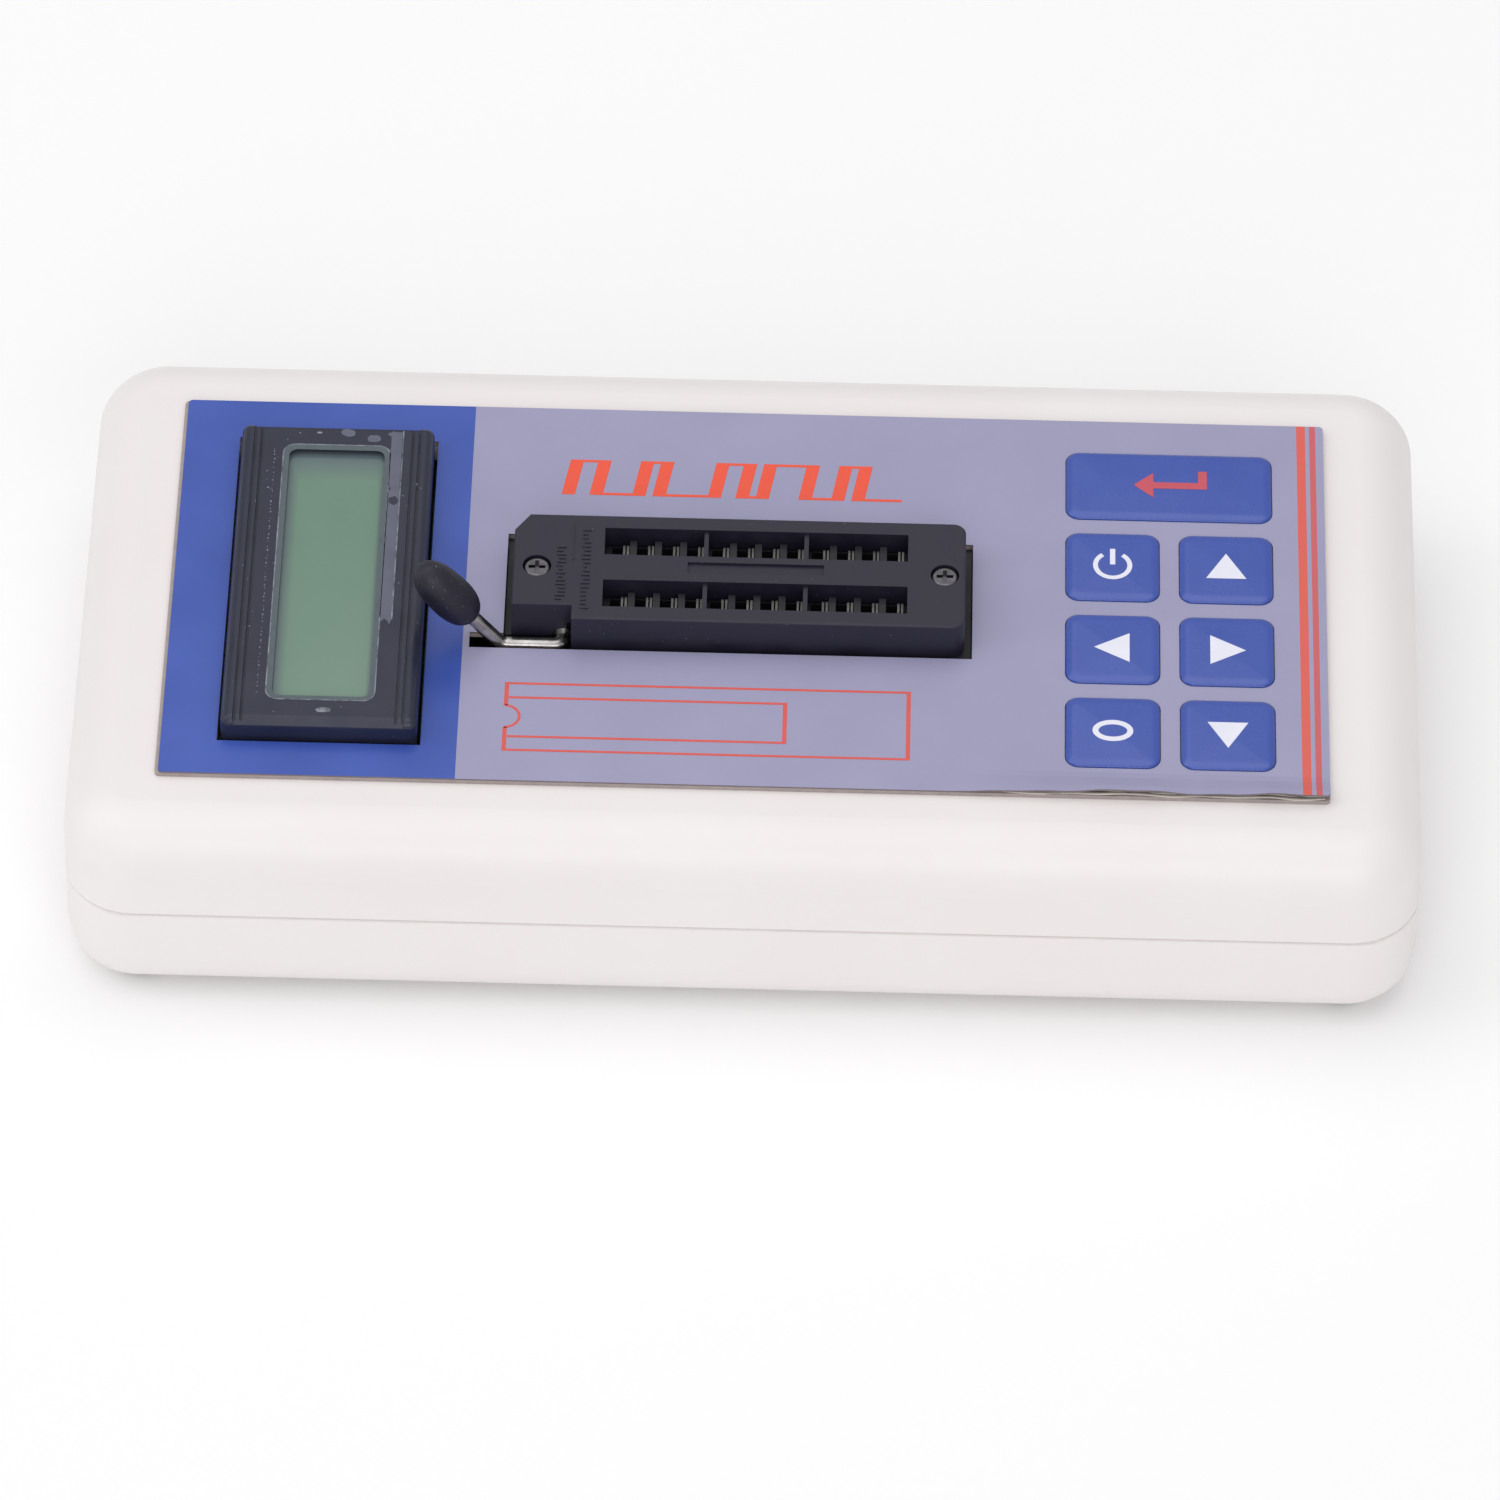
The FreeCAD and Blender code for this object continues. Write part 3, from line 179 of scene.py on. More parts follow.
# colours are 0-255 screen values; sizes of mottling, bumps and specks in mm
finishLooks = {
    "caseIvory": dict(colour=(241, 236, 236), shade=(237, 231, 230), mottleSize=24, mottleMix=0.6,
                      roughness=(0.34, 0.46), bumps=((0.30, 0.006), (1.4, 0.006))),
    "bezelBlack": dict(colour=(33, 36, 57), shade=(43, 46, 67), mottleSize=5, roughness=(0.26, 0.42),
                       bumps=((0.22, 0.004), (1.1, 0.003)), specks=((128, 130, 142), 0.5, 0.735)),
    "socketBlack": dict(colour=(33, 31, 48), shade=(43, 41, 58), mottleSize=3, roughness=(0.40, 0.56),
                        bumps=((0.18, 0.010), (0.7, 0.006)), specks=((118, 118, 128), 0.4, 0.75)),
    "baseBlack": dict(colour=(22, 22, 30), shade=(32, 32, 40), mottleSize=3, roughness=(0.42, 0.58),
                      bumps=((0.2, 0.010),)),
    "sliderBlack": dict(colour=(30, 30, 37), shade=(42, 42, 49), mottleSize=2, roughness=(0.4, 0.6),
                        bumps=((0.3, 0.008),)),
    "knobRubber": dict(colour=(20, 18, 36), shade=(36, 34, 54), mottleSize=1.8, roughness=(0.42, 0.62),
                       bumps=((0.20, 0.018), (0.7, 0.018)), specks=((92, 92, 102), 0.35, 0.70)),
    "leverSteel": dict(colour=(190, 188, 186), shade=(112, 108, 106), mottleSize=1.1, metallic=1.0,
                       roughness=(0.14, 0.34), bumps=((0.25, 0.008), (1.3, 0.02))),
    "screwSteel": dict(colour=(120, 118, 122), shade=(52, 50, 54), mottleSize=0.7, metallic=1.0,
                       roughness=(0.20, 0.42), bumps=((0.2, 0.012),)),
    "contactMetal": dict(colour=(124, 124, 122), shade=(70, 68, 66), mottleSize=0.9, metallic=1.0,
                         roughness=(0.34, 0.5), bumps=((0.2, 0.005),)),
    "tinMetal": dict(colour=(196, 196, 194), shade=(160, 160, 158), mottleSize=2.0, metallic=1.0,
                     roughness=(0.25, 0.4), bumps=((0.5, 0.01),)),
    "foamTape": dict(colour=(176, 164, 162), shade=(150, 138, 138), mottleSize=1.2, roughness=(0.5, 0.7),
                     bumps=((0.3, 0.02),)),
    "circuitFilm": dict(colour=(196, 206, 200), shade=(170, 182, 176), mottleSize=3, roughness=(0.3, 0.4),
                        bumps=((1.0, 0.01),)),
    "diffuserGreen": dict(colour=(190, 215, 170), shade=(180, 205, 160), roughness=(0.3, 0.4),
                          bumps=((1.0, 0.005),)),
    "stripRubber": dict(colour=(176, 166, 178), shade=(90, 80, 90), mottleSize=0.4, roughness=(0.6, 0.7),
                        bumps=((0.3, 0.01),)),
    "boardGreen": dict(colour=(28, 92, 52), shade=(22, 78, 44), mottleSize=2.0, roughness=(0.25, 0.4),
                       coat=0.3, bumps=((0.8, 0.012),)),
    "resinBlack": dict(colour=(22, 22, 24), shade=(34, 34, 36), mottleSize=2.0, roughness=(0.2, 0.3),
                       bumps=((1.5, 0.03),)),
    "chipBlack": dict(colour=(34, 34, 36), shade=(42, 42, 44), mottleSize=1.0, roughness=(0.5, 0.65),
                      bumps=((0.15, 0.008),)),
    "sleeveDark": dict(colour=(40, 44, 66), shade=(52, 56, 78), mottleSize=2.0, roughness=(0.2, 0.3),
                       bumps=((1.0, 0.01),)),
    "ferriteGrey": dict(colour=(62, 60, 60), shade=(50, 48, 48), mottleSize=0.6, roughness=(0.6, 0.75),
                        bumps=((0.2, 0.02),)),
    "nylonCream": dict(colour=(228, 222, 206), shade=(216, 208, 190), mottleSize=3.0, roughness=(0.45, 0.55),
                       bumps=((0.5, 0.008),)),
    "cellJacket": dict(colour=(66, 118, 84), shade=(56, 104, 74), mottleSize=5.0, roughness=(0.22, 0.32),
                       coat=0.4, bumps=((2.0, 0.01),)),
    "wireRed": dict(colour=(190, 42, 34), shade=(170, 34, 28), roughness=(0.35, 0.45), bumps=((1.0, 0.01),)),
    "wireBlack": dict(colour=(26, 26, 28), shade=(38, 38, 40), roughness=(0.35, 0.45), bumps=((1.0, 0.01),)),
    "keyBlue": dict(colour=(54, 80, 170), shade=(60, 87, 176), mottleSize=5.0, roughness=(0.24, 0.32),
                    coat=0.4, coatRoughness=0.12, bumps=((0.28, 0.003),)),
    "inkRed": dict(colour=(224, 92, 82), shade=(214, 84, 78), mottleSize=2.0, roughness=(0.35, 0.45),
                   bumps=((0.3, 0.003),)),
    "inkOrange": dict(colour=(244, 88, 60), shade=(236, 82, 58), mottleSize=2.0, roughness=(0.35, 0.45),
                      bumps=((0.3, 0.003),)),
    "inkKeyRed": dict(colour=(206, 84, 96), shade=(190, 78, 98), mottleSize=1.2, roughness=(0.35, 0.45),
                      bumps=((0.3, 0.003),)),
    "inkWhite": dict(colour=(238, 238, 250), shade=(226, 226, 244), mottleSize=2.0, roughness=(0.35, 0.45),
                     bumps=((0.3, 0.003),)),
    "filmHaze": dict(colour=(98, 100, 118), shade=(84, 86, 104), mottleSize=2.0, roughness=(0.35, 0.5),
                     bumps=((0.4, 0.01),)),
    # grey standing in for the window walls' shadow: painted shade
    "paintedShadeBand": dict(colour=(78, 90, 98), shade=(92, 106, 108), mottleSize=1.6, roughness=(0.3, 0.45),
                     bumps=((0.4, 0.008),)),
    # light grey broken by dark mottle: a painted highlight on the window rim, and dust and bright marks on
    # the film
    "dustAndGlint": dict(colour=(150, 154, 164), shade=(72, 76, 86), mottleSize=0.8, mottleMix=1.0,
                      roughness=(0.25, 0.4), bumps=((0.3, 0.01),)),
    "glueHaze": dict(colour=(220, 212, 204), shade=(196, 186, 178), mottleSize=1.4, roughness=(0.35, 0.6),
                     bumps=((0.5, 0.03),)),
    "glueDark": dict(colour=(104, 94, 90), shade=(130, 120, 114), mottleSize=1.0, roughness=(0.4, 0.6),
                     bumps=((0.3, 0.02),)),
    "stageWhite": dict(colour=(255, 255, 255), shade=(253, 253, 253), mottleSize=400, roughness=(0.8, 0.9)),
}
finishes = {name: Finish(name, look) for name, look in finishLooks.items()}

# the display's glass: green, with painted shade greying it towards its left and back edges, where the window
# walls shade it; in mm
glassLook = {
    "finish": dict(colour=(104, 136, 118), shade=(110, 140, 122), mottleSize=14, mottleMix=0.7,
                   roughness=(0.12, 0.2), coat=0.4, coatRoughness=0.06, bumps=((6.0, 0.004),)),
    "paintedShadeGrey": (88, 94, 112), "paintedShadeMix": 0.9,
    "window": (10.3, 35.3),
    "leftFade": 1.5, "rightFade": 0.7, "backFade": 4.2, "frontFade": 0.9,
}


def buildGlassFinish():
    look = glassLook
    finish = Finish("displayGreen", look["finish"])
    low, high = (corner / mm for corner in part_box("display_bezel"))
    middle = (low + high) / 2
    halfX, halfY = look["window"][0] / 2, look["window"][1] / 2
    across, along = finish.axis("X"), finish.axis("Y")
    shares = []
    for value, edge, fade in ((across, middle.x - halfX, look["leftFade"]),
                              (across, middle.x + halfX, -look["rightFade"]),
                              (along, middle.y + halfY, -look["backFade"]),
                              (along, middle.y - halfY, look["frontFade"])):
        near, far = edge * mm, (edge + fade) * mm
        if fade > 0:
            shares.append(finish.ramp(value, look["paintedShadeMix"], 0.0, near, far))
        else:
            shares.append(finish.ramp(value, 0.0, look["paintedShadeMix"], far, near))
    share = shares[0]
    for other in shares[1:]:
        share = finish.math("MAXIMUM", share, other)
    # painted shade: grey mixed in near the window's edges, widest at the left and back
    finish.colourOut = finish.mix(share, finish.colourOut, finish.solid(look["paintedShadeGrey"]))
    finish.connectColour()
    return finish


finishes["displayGreen"] = buildGlassFinish()

nodeFinishes = {
    "caseIvory": ["top_shell", "bottom_shell", "battery_door"],
    "bezelBlack": ["display_bezel"],
    "socketBlack": ["socket_cover"],
    "baseBlack": ["socket_base"],
    "displayGreen": ["display_glass"],
    "sliderBlack": ["socket_slider"],
    "knobRubber": ["lever_knob"],
    "leverSteel": ["lever"],
    "screwSteel": ["case_screws", "board_screws", "socket_cover_screws"],
    "contactMetal": ["socket_contacts_front", "socket_contacts_rear", "display_header"],
    "tinMetal": ["battery_plates", "battery_springs", "crystal"],
    "foamTape": ["keypad_spacer"],
    "circuitFilm": ["keypad_circuit"],
    "diffuserGreen": ["display_diffuser"],
    "stripRubber": ["display_zebra_strips"],
    "boardGreen": ["main_board", "display_board"],
    "resinBlack": ["display_controller"],
    "chipBlack": ["microcontroller", "resistors"],
    "sleeveDark": ["capacitors"],
    "ferriteGrey": ["inductor"],
    "nylonCream": ["tail_connector"],
    "cellJacket": ["batteries"],
    "wireRed": ["battery_lead_positive"],
    "wireBlack": ["battery_lead_negative"],
}
keyNames = [name[4:] for name in nodes if name.startswith("key_")]
for finishName, members in nodeFinishes.items():
    for member in members:
        nodes[member].data.materials.clear()
        nodes[member].data.materials.append(finishes[finishName].material)
for keyName in keyNames:
    nodes["dome_" + keyName].data.materials.clear()
    nodes["dome_" + keyName].data.materials.append(finishes["tinMetal"].material)
print("finishes made:", len(finishes))


def newPiece(name, mesh, finish, body, replaced=()):
    piece = bpy.data.objects.new(name, mesh)
    scene.collection.objects.link(piece)
    if finish:
        mesh.materials.append(finishes[finish].material)
    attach(piece, body)
    if replaced:
        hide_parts(*replaced)
    return piece


def meshFrom(name, bm, smooth=True):
    mesh = bpy.data.meshes.new(name)
    bm.normal_update()
    bm.to_mesh(mesh)
    bm.free()
    for polygon in mesh.polygons:
        polygon.use_smooth = smooth
    return mesh


def roundedOutline(cx, cy, sizeX, sizeY, radius, steps=8):
    points = []
    for cornerX, cornerY, start in ((1, 1, 0), (-1, 1, 90), (-1, -1, 180), (1, -1, 270)):
        for step in range(steps + 1):
            angle = math.radians(start + 90 * step / steps)
            points.append((cx + cornerX * (sizeX / 2 - radius) + radius * math.cos(angle),
                           cy + cornerY * (sizeY / 2 - radius) + radius * math.sin(angle)))
    return points


def applyModifiers(piece):
    bpy.context.view_layer.update()
    graph = bpy.context.evaluated_depsgraph_get()
    mesh = bpy.data.meshes.new_from_object(piece.evaluated_get(graph))
    old = piece.data
    piece.modifiers.clear()
    piece.data = mesh
    bpy.data.meshes.remove(old)


def addPrism(bm, outline, z0, z1):
    low = [bm.verts.new((x, y, z0)) for x, y in outline]
    high = [bm.verts.new((x, y, z1)) for x, y in outline]
    bm.faces.new(low[::-1])
    bm.faces.new(high)
    for n in range(len(outline)):
        after = (n + 1) % len(outline)
        bm.faces.new((low[n], low[after], high[after], high[n]))


def cutWith(piece, bm, name):
    # takes the closed shapes in bm out of piece
    mesh = bpy.data.meshes.new(name)
    bmesh.ops.recalc_face_normals(bm, faces=bm.faces)
    bm.to_mesh(mesh)
    bm.free()
    cutter = bpy.data.objects.new(name, mesh)
    scene.collection.objects.link(cutter)
    modifier = piece.modifiers.new("cut", "BOOLEAN")
    modifier.object = cutter
    modifier.operation = "DIFFERENCE"
    modifier.solver = "EXACT"
    applyModifiers(piece)
    bpy.data.objects.remove(cutter)
    bpy.data.meshes.remove(mesh)


def boxOf(node):
    # a node's corners in mm
    low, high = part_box(node)
    return low / mm, high / mm


def bar(x0, x1, y0, y1):
    return [(x0, y0), (x1, y0), (x1, y1), (x0, y1)]


# keypad film: one sheet with the printed colours, lifted along its front edge at the keypad end; in mm
film = {
    "cell": 0.75,             # grid size
    "corner": 0.45,
    "liftStart": 20.0,        # where the front edge starts to lift, along X
    "liftRun": 13.0,          # length over which it comes up
    "liftHeight": 0.85,
    "liftDepth": 3.0,         # how far in from the front edge the lift reaches
    "waveMiddle": 0.72,
    "waves": ((0.22, 0.40, -1.2), (0.08, 1.1, 0.0)),      # share of the lift, pace and phase along X
    "underside": 0.97,        # share of the lift that the film's underside takes
    "blueEnd": -28.85,        # where the blue zone ends, along X
    "blue": (54, 82, 172), "blueShade": (62, 91, 182),
    "lavender": (160, 158, 190), "lavenderShade": (153, 151, 182),
    "stripes": {              # name: (start, end, colour)
        "wide": (55.75, 56.65, (224, 96, 84)),
        "thin": (57.08, 57.7, (206, 96, 100)),
    },
    "edge": (112, 102, 106), "edgeShade": (136, 126, 128),
    "socketGap": (0.8, 0.75), "slot": (3.4, 2.1), "displayGap": 0.35, "keyGap": 0.07, "keyCorner": 1.4,
}
filmLow, filmHigh = boxOf("graphic_overlay")
filmTop = filmHigh.z


def smoothStep(low, high, value):
    share = max(0.0, min(1.0, (value - low) / (high - low)))
    return share * share * (3 - 2 * share)


def filmLift(x, y):
    # height that the loose front edge stands up from the case, in mm
    along = smoothStep(film["liftStart"], film["liftStart"] + film["liftRun"], x)
    inward = 1 - smoothStep(filmLow.y, filmLow.y + film["liftDepth"], y)
    wave = film["waveMiddle"]
    for share, pace, phase in film["waves"]:
        wave += share * math.sin(x * pace + phase)
    return film["liftHeight"] * along * inward * wave


def keyOutline(keyName, grow):
    low, high = boxOf("key_" + keyName)
    return roundedOutline((low.x + high.x) / 2, (low.y + high.y) / 2, high.x - low.x + 2 * grow,
                          high.y - low.y + 2 * grow, film["keyCorner"] + grow)


def socketOpening():
    # the socket's opening and the lever's slot, as two overlapping rectangles
    low, high = boxOf("socket_cover")
    gapX, gapY = film["socketGap"]
    slotX, slotY = film["slot"]
    front, back, left = low.y - gapY, high.y + gapY, low.x - gapX
    return bar(left, high.x + gapX, front, back), bar(left - slotX, left + 0.5, front, front + slotY)


def displayOpening():
    low, high = boxOf("display_bezel")
    gap = film["displayGap"]
    return bar(low.x - gap, high.x + gap, low.y - gap, high.y + gap)


def buildFilm():
    look = dict(colour=film["lavender"], shade=film["lavenderShade"], mottleSize=9, mottleMix=0.6,
                roughness=(0.34, 0.46), coat=0.12, coatRoughness=0.35, bumps=((0.28, 0.005), (3.0, 0.008)))
    finish = Finish("filmPrint", look)
    across = finish.axis("X")
    blueZone = finish.band(across, -1.0, film["blueEnd"] * mm)
    blueMask = finish.ramp(finish.noise(12.0), 0.0, 1.0, 0.35, 0.65)
    blue = finish.mix(blueMask, finish.solid(film["blue"]), finish.solid(film["blueShade"]))
    finish.colourOut = finish.mix(blueZone, finish.colourOut, blue)
    for low, high, colour in film["stripes"].values():
        finish.colourOut = finish.mix(finish.band(across, low * mm, high * mm), finish.colourOut,
                                      finish.solid(colour))
    finish.connectColour()
    finishes["filmPrint"] = finish
    edgeLook = dict(colour=film["edge"], shade=film["edgeShade"], mottleSize=1.5,
                    roughness=(0.4, 0.6), bumps=((0.3, 0.01),))
    finishes["filmEdge"] = Finish("filmEdge", edgeLook)
    sizeX, sizeY = filmHigh.x - filmLow.x, filmHigh.y - filmLow.y
    bm = bmesh.new()
    outline = roundedOutline(0, 0, sizeX, sizeY, film["corner"])
    addPrism(bm, outline, filmLow.z, filmHigh.z)
    for letter, low, high in (("x", filmLow.x, filmHigh.x), ("y", filmLow.y, filmHigh.y)):
        steps = int((high - low) / film["cell"])
        for n in range(1, steps):
            at = low + (high - low) * n / steps
            place = (at, 0, 0) if letter == "x" else (0, at, 0)
            facing = (1, 0, 0) if letter == "x" else (0, 1, 0)
            everything = bm.verts[:] + bm.edges[:] + bm.faces[:]
            bmesh.ops.bisect_plane(bm, geom=everything, plane_co=place, plane_no=facing)
    mesh = meshFrom("keypadFilm", bm, smooth=False)
    piece = bpy.data.objects.new("keypadFilm", mesh)
    scene.collection.objects.link(piece)
    for number, opening in enumerate((*socketOpening(), displayOpening())):
        cutter = bmesh.new()
        addPrism(cutter, opening, filmLow.z - 1, filmHigh.z + 1)
        cutWith(piece, cutter, "opening%d" % number)
    cutter = bmesh.new()
    for keyName in keyNames:
        addPrism(cutter, keyOutline(keyName, film["keyGap"]), filmLow.z - 1, filmHigh.z + 1)
    cutWith(piece, cutter, "keyOpenings")
    mesh = piece.data
    middle = (filmLow.z + filmHigh.z) / 2
    for vertex in mesh.vertices:
        lift = filmLift(vertex.co.x, vertex.co.y)
        if vertex.co.z < middle:
            lift = lift * film["underside"]
        vertex.co.z += lift
    mesh.transform(Matrix.Scale(mm, 4))
    mesh.materials.clear()
    mesh.materials.append(finish.material)
    mesh.materials.append(finishes["filmEdge"].material)
    for polygon in mesh.polygons:
        polygon.material_index = 0 if polygon.normal.z > 0.3 else 1
    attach(piece, "case")
    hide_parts("graphic_overlay")


buildFilm()
print("keypad film made")


# wavy remains of the adhesive layer under the lifted edge, in mm
glue = {
    "step": 0.5, "seed": 7, "start": 24.5,
    "strands": (              # inset from the film's edge, share of the gap, width, height, swing, finish
        (0.20, 0.16, 0.34, 0.16, 0.10, "glueHaze"),
        (0.55, 0.45, 0.42, 0.14, 0.16, "glueHaze"),
        (0.12, 0.06, 0.10, 0.05, 0.05, "glueDark"),
        (0.28, 0.50, 0.09, 0.07, 0.22, "glueDark"),
        (0.34, 0.80, 0.10, 0.07, 0.14, "glueDark"),
    ),
}


def buildGlue():
    chance = random.Random(glue["seed"])
    for strand, (inset, share, width, height, swing, finish) in enumerate(glue["strands"]):
        phase, pace = chance.uniform(0, 6), chance.uniform(0.45, 0.8)
        bm = bmesh.new()
        previous = None
        x = glue["start"] + 1.5 * strand
        while x < filmHigh.x - 0.35:
            y = filmLow.y + inset + 0.08 * math.sin(x * pace * 1.9 + phase)
            room = filmLift(x, y) + 0.03
            middle = share + swing * math.sin(x * pace + phase) + 0.3 * swing * math.sin(x * pace * 3.1)
            z = filmLow.z + room * max(0.04, min(0.92, middle))
            taper = min(1.0, (x - glue["start"] - 1.5 * strand) / 3.0 + 0.2)
            halfY, halfZ = width * taper / 2, min(height, room * 0.8) * taper / 2
            ring = [bm.verts.new((x * mm, (y + halfY * math.cos(a)) * mm, (z + halfZ * math.sin(a)) * mm))
                    for a in (math.pi * n / 4 for n in range(8))]
            if previous:
                for n in range(8):
                    bm.faces.new((previous[n], previous[(n + 1) % 8], ring[(n + 1) % 8], ring[n]))
            else:
                bm.faces.new(ring[::-1])
            previous = ring
            x += glue["step"]
        bm.faces.new(previous)
        bmesh.ops.recalc_face_normals(bm, faces=bm.faces)
        name = "tapeString_%d" % strand
        newPiece(name, meshFrom(name, bm), finish, "case")


buildGlue()
print("tape strings made")


# keys: embossed pillows, in mm
keyLook = {
    "shoulder": 0.85,         # width of the rounded rise round the edge
    "crown": 0.05,            # extra height at the middle
    "skin": 0.2,
    "insets": (0.0, 0.04, 0.1, 0.2, 0.33, 0.5, 0.7, 0.9, 1.2, 1.7, 2.4, 3.2, 4.0),
}


def outlineDistance(x, y, halfX, halfY, radius):
    # distance in from a rounded rectangle's edge
    dx, dy = abs(x) - (halfX - radius), abs(y) - (halfY - radius)
    outside = math.hypot(max(dx, 0), max(dy, 0)) + min(max(dx, dy), 0)
    return radius - outside


def keyHeight(x, y, halfX, halfY, rise):
    inward = outlineDistance(x, y, halfX, halfY, film["keyCorner"])
    share = max(0.0, min(1.0, inward / keyLook["shoulder"]))
    edge = math.sqrt(max(0.0, 1 - (1 - share) ** 2))
    crown = smoothStep(0, min(halfX, halfY), inward)
    return (rise - keyLook["crown"]) * edge + keyLook["crown"] * crown


def buildKey(keyName):
    low, high = boxOf("key_" + keyName)
    halfX, halfY = (high.x - low.x) / 2, (high.y - low.y) / 2
    cx, cy = (high.x + low.x) / 2, (high.y + low.y) / 2
    rise = high.z - filmTop
    bm = bmesh.new()

    def ring(inset, height):
        radius = max(film["keyCorner"] - inset, 0.15)
        outline = roundedOutline(0, 0, 2 * (halfX - inset), 2 * (halfY - inset), radius, 7)
        return [bm.verts.new(((cx + x) * mm, (cy + y) * mm, height(x, y) * mm)) for x, y in outline]

    def topAt(x, y):
        return filmTop + keyHeight(x, y, halfX, halfY, rise)

    def innerAt(x, y):
        return max(low.z, topAt(x, y) - keyLook["skin"])

    hollow = [inset for inset in keyLook["insets"] if inset > keyLook["skin"]]
    rings = [ring(inset, innerAt) for inset in reversed(hollow)]
    rings += [ring(keyLook["skin"], lambda x, y: low.z), ring(0.0, lambda x, y: low.z)]
    rings += [ring(inset, topAt) for inset in keyLook["insets"]]
    for first, second in zip(rings, rings[1:]):
        for n in range(len(first)):
            after = (n + 1) % len(first)
            bm.faces.new((first[n], first[after], second[after], second[n]))
    bm.faces.new(rings[-1])
    bm.faces.new(rings[0][::-1])
    newPiece("keyPillow_" + keyName, meshFrom("keyPillow_" + keyName, bm), "keyBlue",
             "key_" + keyName + "_body", ("key_" + keyName,))


def inkShape(name, outlines, finish, top=filmTop, body="case", thickness=0.012, shift=(0, 0)):
    # flat shapes on a surface at height top; an outline inside another is a hole
    curve = bpy.data.curves.new("ink", "CURVE")
    curve.dimensions = "2D"
    curve.fill_mode = "BOTH"
    for outline in outlines:
        spline = curve.splines.new("POLY")
        spline.points.add(len(outline) - 1)
        spline.use_cyclic_u = True
        for point, (x, y) in zip(spline.points, outline):
            point.co = ((shift[0] + x) * mm, (shift[1] + y) * mm, 0, 1)
    curve.extrude = thickness * mm
    holder = bpy.data.objects.new("ink", curve)
    scene.collection.objects.link(holder)
    bpy.context.view_layer.update()
    mesh = bpy.data.meshes.new_from_object(holder)
    bpy.data.objects.remove(holder)
    mesh.transform(Matrix.Translation((0, 0, (top + 0.008) * mm)))
    mesh.name = name
    newPiece(name, mesh, finish, body)


# snap domes under the keys
domeLook = {
    "thickness": 0.08,        # mm
    "left": 0.55,             # height left with the key down, as a share
    "rings": 10, "around": 40,
}


def buildDome(keyName):
    low, high = boxOf("dome_" + keyName)
    cx, cy = (low.x + high.x) / 2, (low.y + high.y) / 2
    radius, rise = (high.x - low.x) / 2, high.z - low.z
    ball = (radius ** 2 + rise ** 2) / (2 * rise)
    bm = bmesh.new()

    def surface(ballRadius):
        # from the foot up to just beside the crown
        foot = math.sqrt(max(0.0, ballRadius ** 2 - (ball - rise) ** 2))
        rings = []
        for n in range(domeLook["rings"]):
            reach = foot * (1 - n / domeLook["rings"])
            z = low.z + max(0.0, math.sqrt(ballRadius ** 2 - reach ** 2) - (ball - rise))
            rings.append([bm.verts.new((x * mm, y * mm, z * mm))
                          for x, y in ellipse(reach, reach, cx, cy, domeLook["around"])])
        return rings

    outer, inner = surface(ball), surface(ball - domeLook["thickness"])
    rings = inner[::-1] + outer
    for first, second in zip(rings, rings[1:]):
        for n in range(len(first)):
            after = (n + 1) % len(first)
            bm.faces.new((first[n], first[after], second[after], second[n]))
    bm.faces.new(rings[0])
    bm.faces.new(rings[-1])
    bmesh.ops.recalc_face_normals(bm, faces=bm.faces)
    name = "snapDome_" + keyName
    piece = newPiece(name, meshFrom(name, bm), "tinMetal", "case", ("dome_" + keyName,))
    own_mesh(piece)


def ellipse(rx, ry, cx=0.0, cy=0.0, steps=40):
    return [(cx + rx * math.cos(2 * math.pi * n / steps), cy + ry * math.sin(2 * math.pi * n / steps))
            for n in range(steps)]


def arcBand(radius, width, start, end, cx=0.0, cy=0.0, steps=28):
    outer = [(cx + (radius + width / 2) * math.cos(math.radians(start + (end - start) * n / steps)),
              cy + (radius + width / 2) * math.sin(math.radians(start + (end - start) * n / steps)))
             for n in range(steps + 1)]
    inner = [(cx + (radius - width / 2) * math.cos(math.radians(end + (start - end) * n / steps)),
              cy + (radius - width / 2) * math.sin(math.radians(end + (start - end) * n / steps)))
             for n in range(steps + 1)]
    return outer + inner


# each key's symbol: outlines and ink
symbols = {
    "up": ([[(-2.05, -1.5), (2.05, -1.5), (0.0, 2.0)]], "inkWhite"),
    "down": ([[(-2.05, 1.5), (0.0, -2.0), (2.05, 1.5)]], "inkWhite"),
    "left": ([[(1.7, -2.0), (1.7, 2.0), (-1.9, 0.0)]], "inkWhite"),
    "right": ([[(-1.7, -2.0), (1.9, 0.0), (-1.7, 2.0)]], "inkWhite"),
    "ring": ([ellipse(2.05, 1.45), ellipse(1.45, 0.85)], "inkWhite"),
    "program": ([arcBand(1.75, 0.5, 125, 415), bar(-0.27, 0.27, 0.1, 2.3)], "inkWhite"),
    "enter": ([[(-3.6, 0.0), (-1.6, 1.75), (-1.6, 0.45), (3.0, 0.45), (3.0, 2.1), (3.9, 2.1), (3.9, -0.45),
                (-1.6, -0.45), (-1.6, -1.75)]], "inkKeyRed"),
}
for keyName in keyNames:
    buildKey(keyName)
    buildDome(keyName)
    shapes, ink = symbols[keyName]
    low, high = boxOf("key_" + keyName)
    inkShape("symbol_" + keyName, shapes, ink, top=high.z, body="key_" + keyName + "_body",
             shift=((low.x + high.x) / 2, (low.y + high.y) / 2))
print("keys made:", len(keyNames))


# the printed chip outline: x and y ranges of its outer and inner parts, in mm
chipDrawing = {
    "outer": (-24.35, 16.5, -22.25, -12.8),
    "inner": (-24.3, 4.1, -20.4, -14.75),
    "upright": 0.42, "level": 0.28,
    "notchY": -17.5, "notchRadius": 1.5,
}


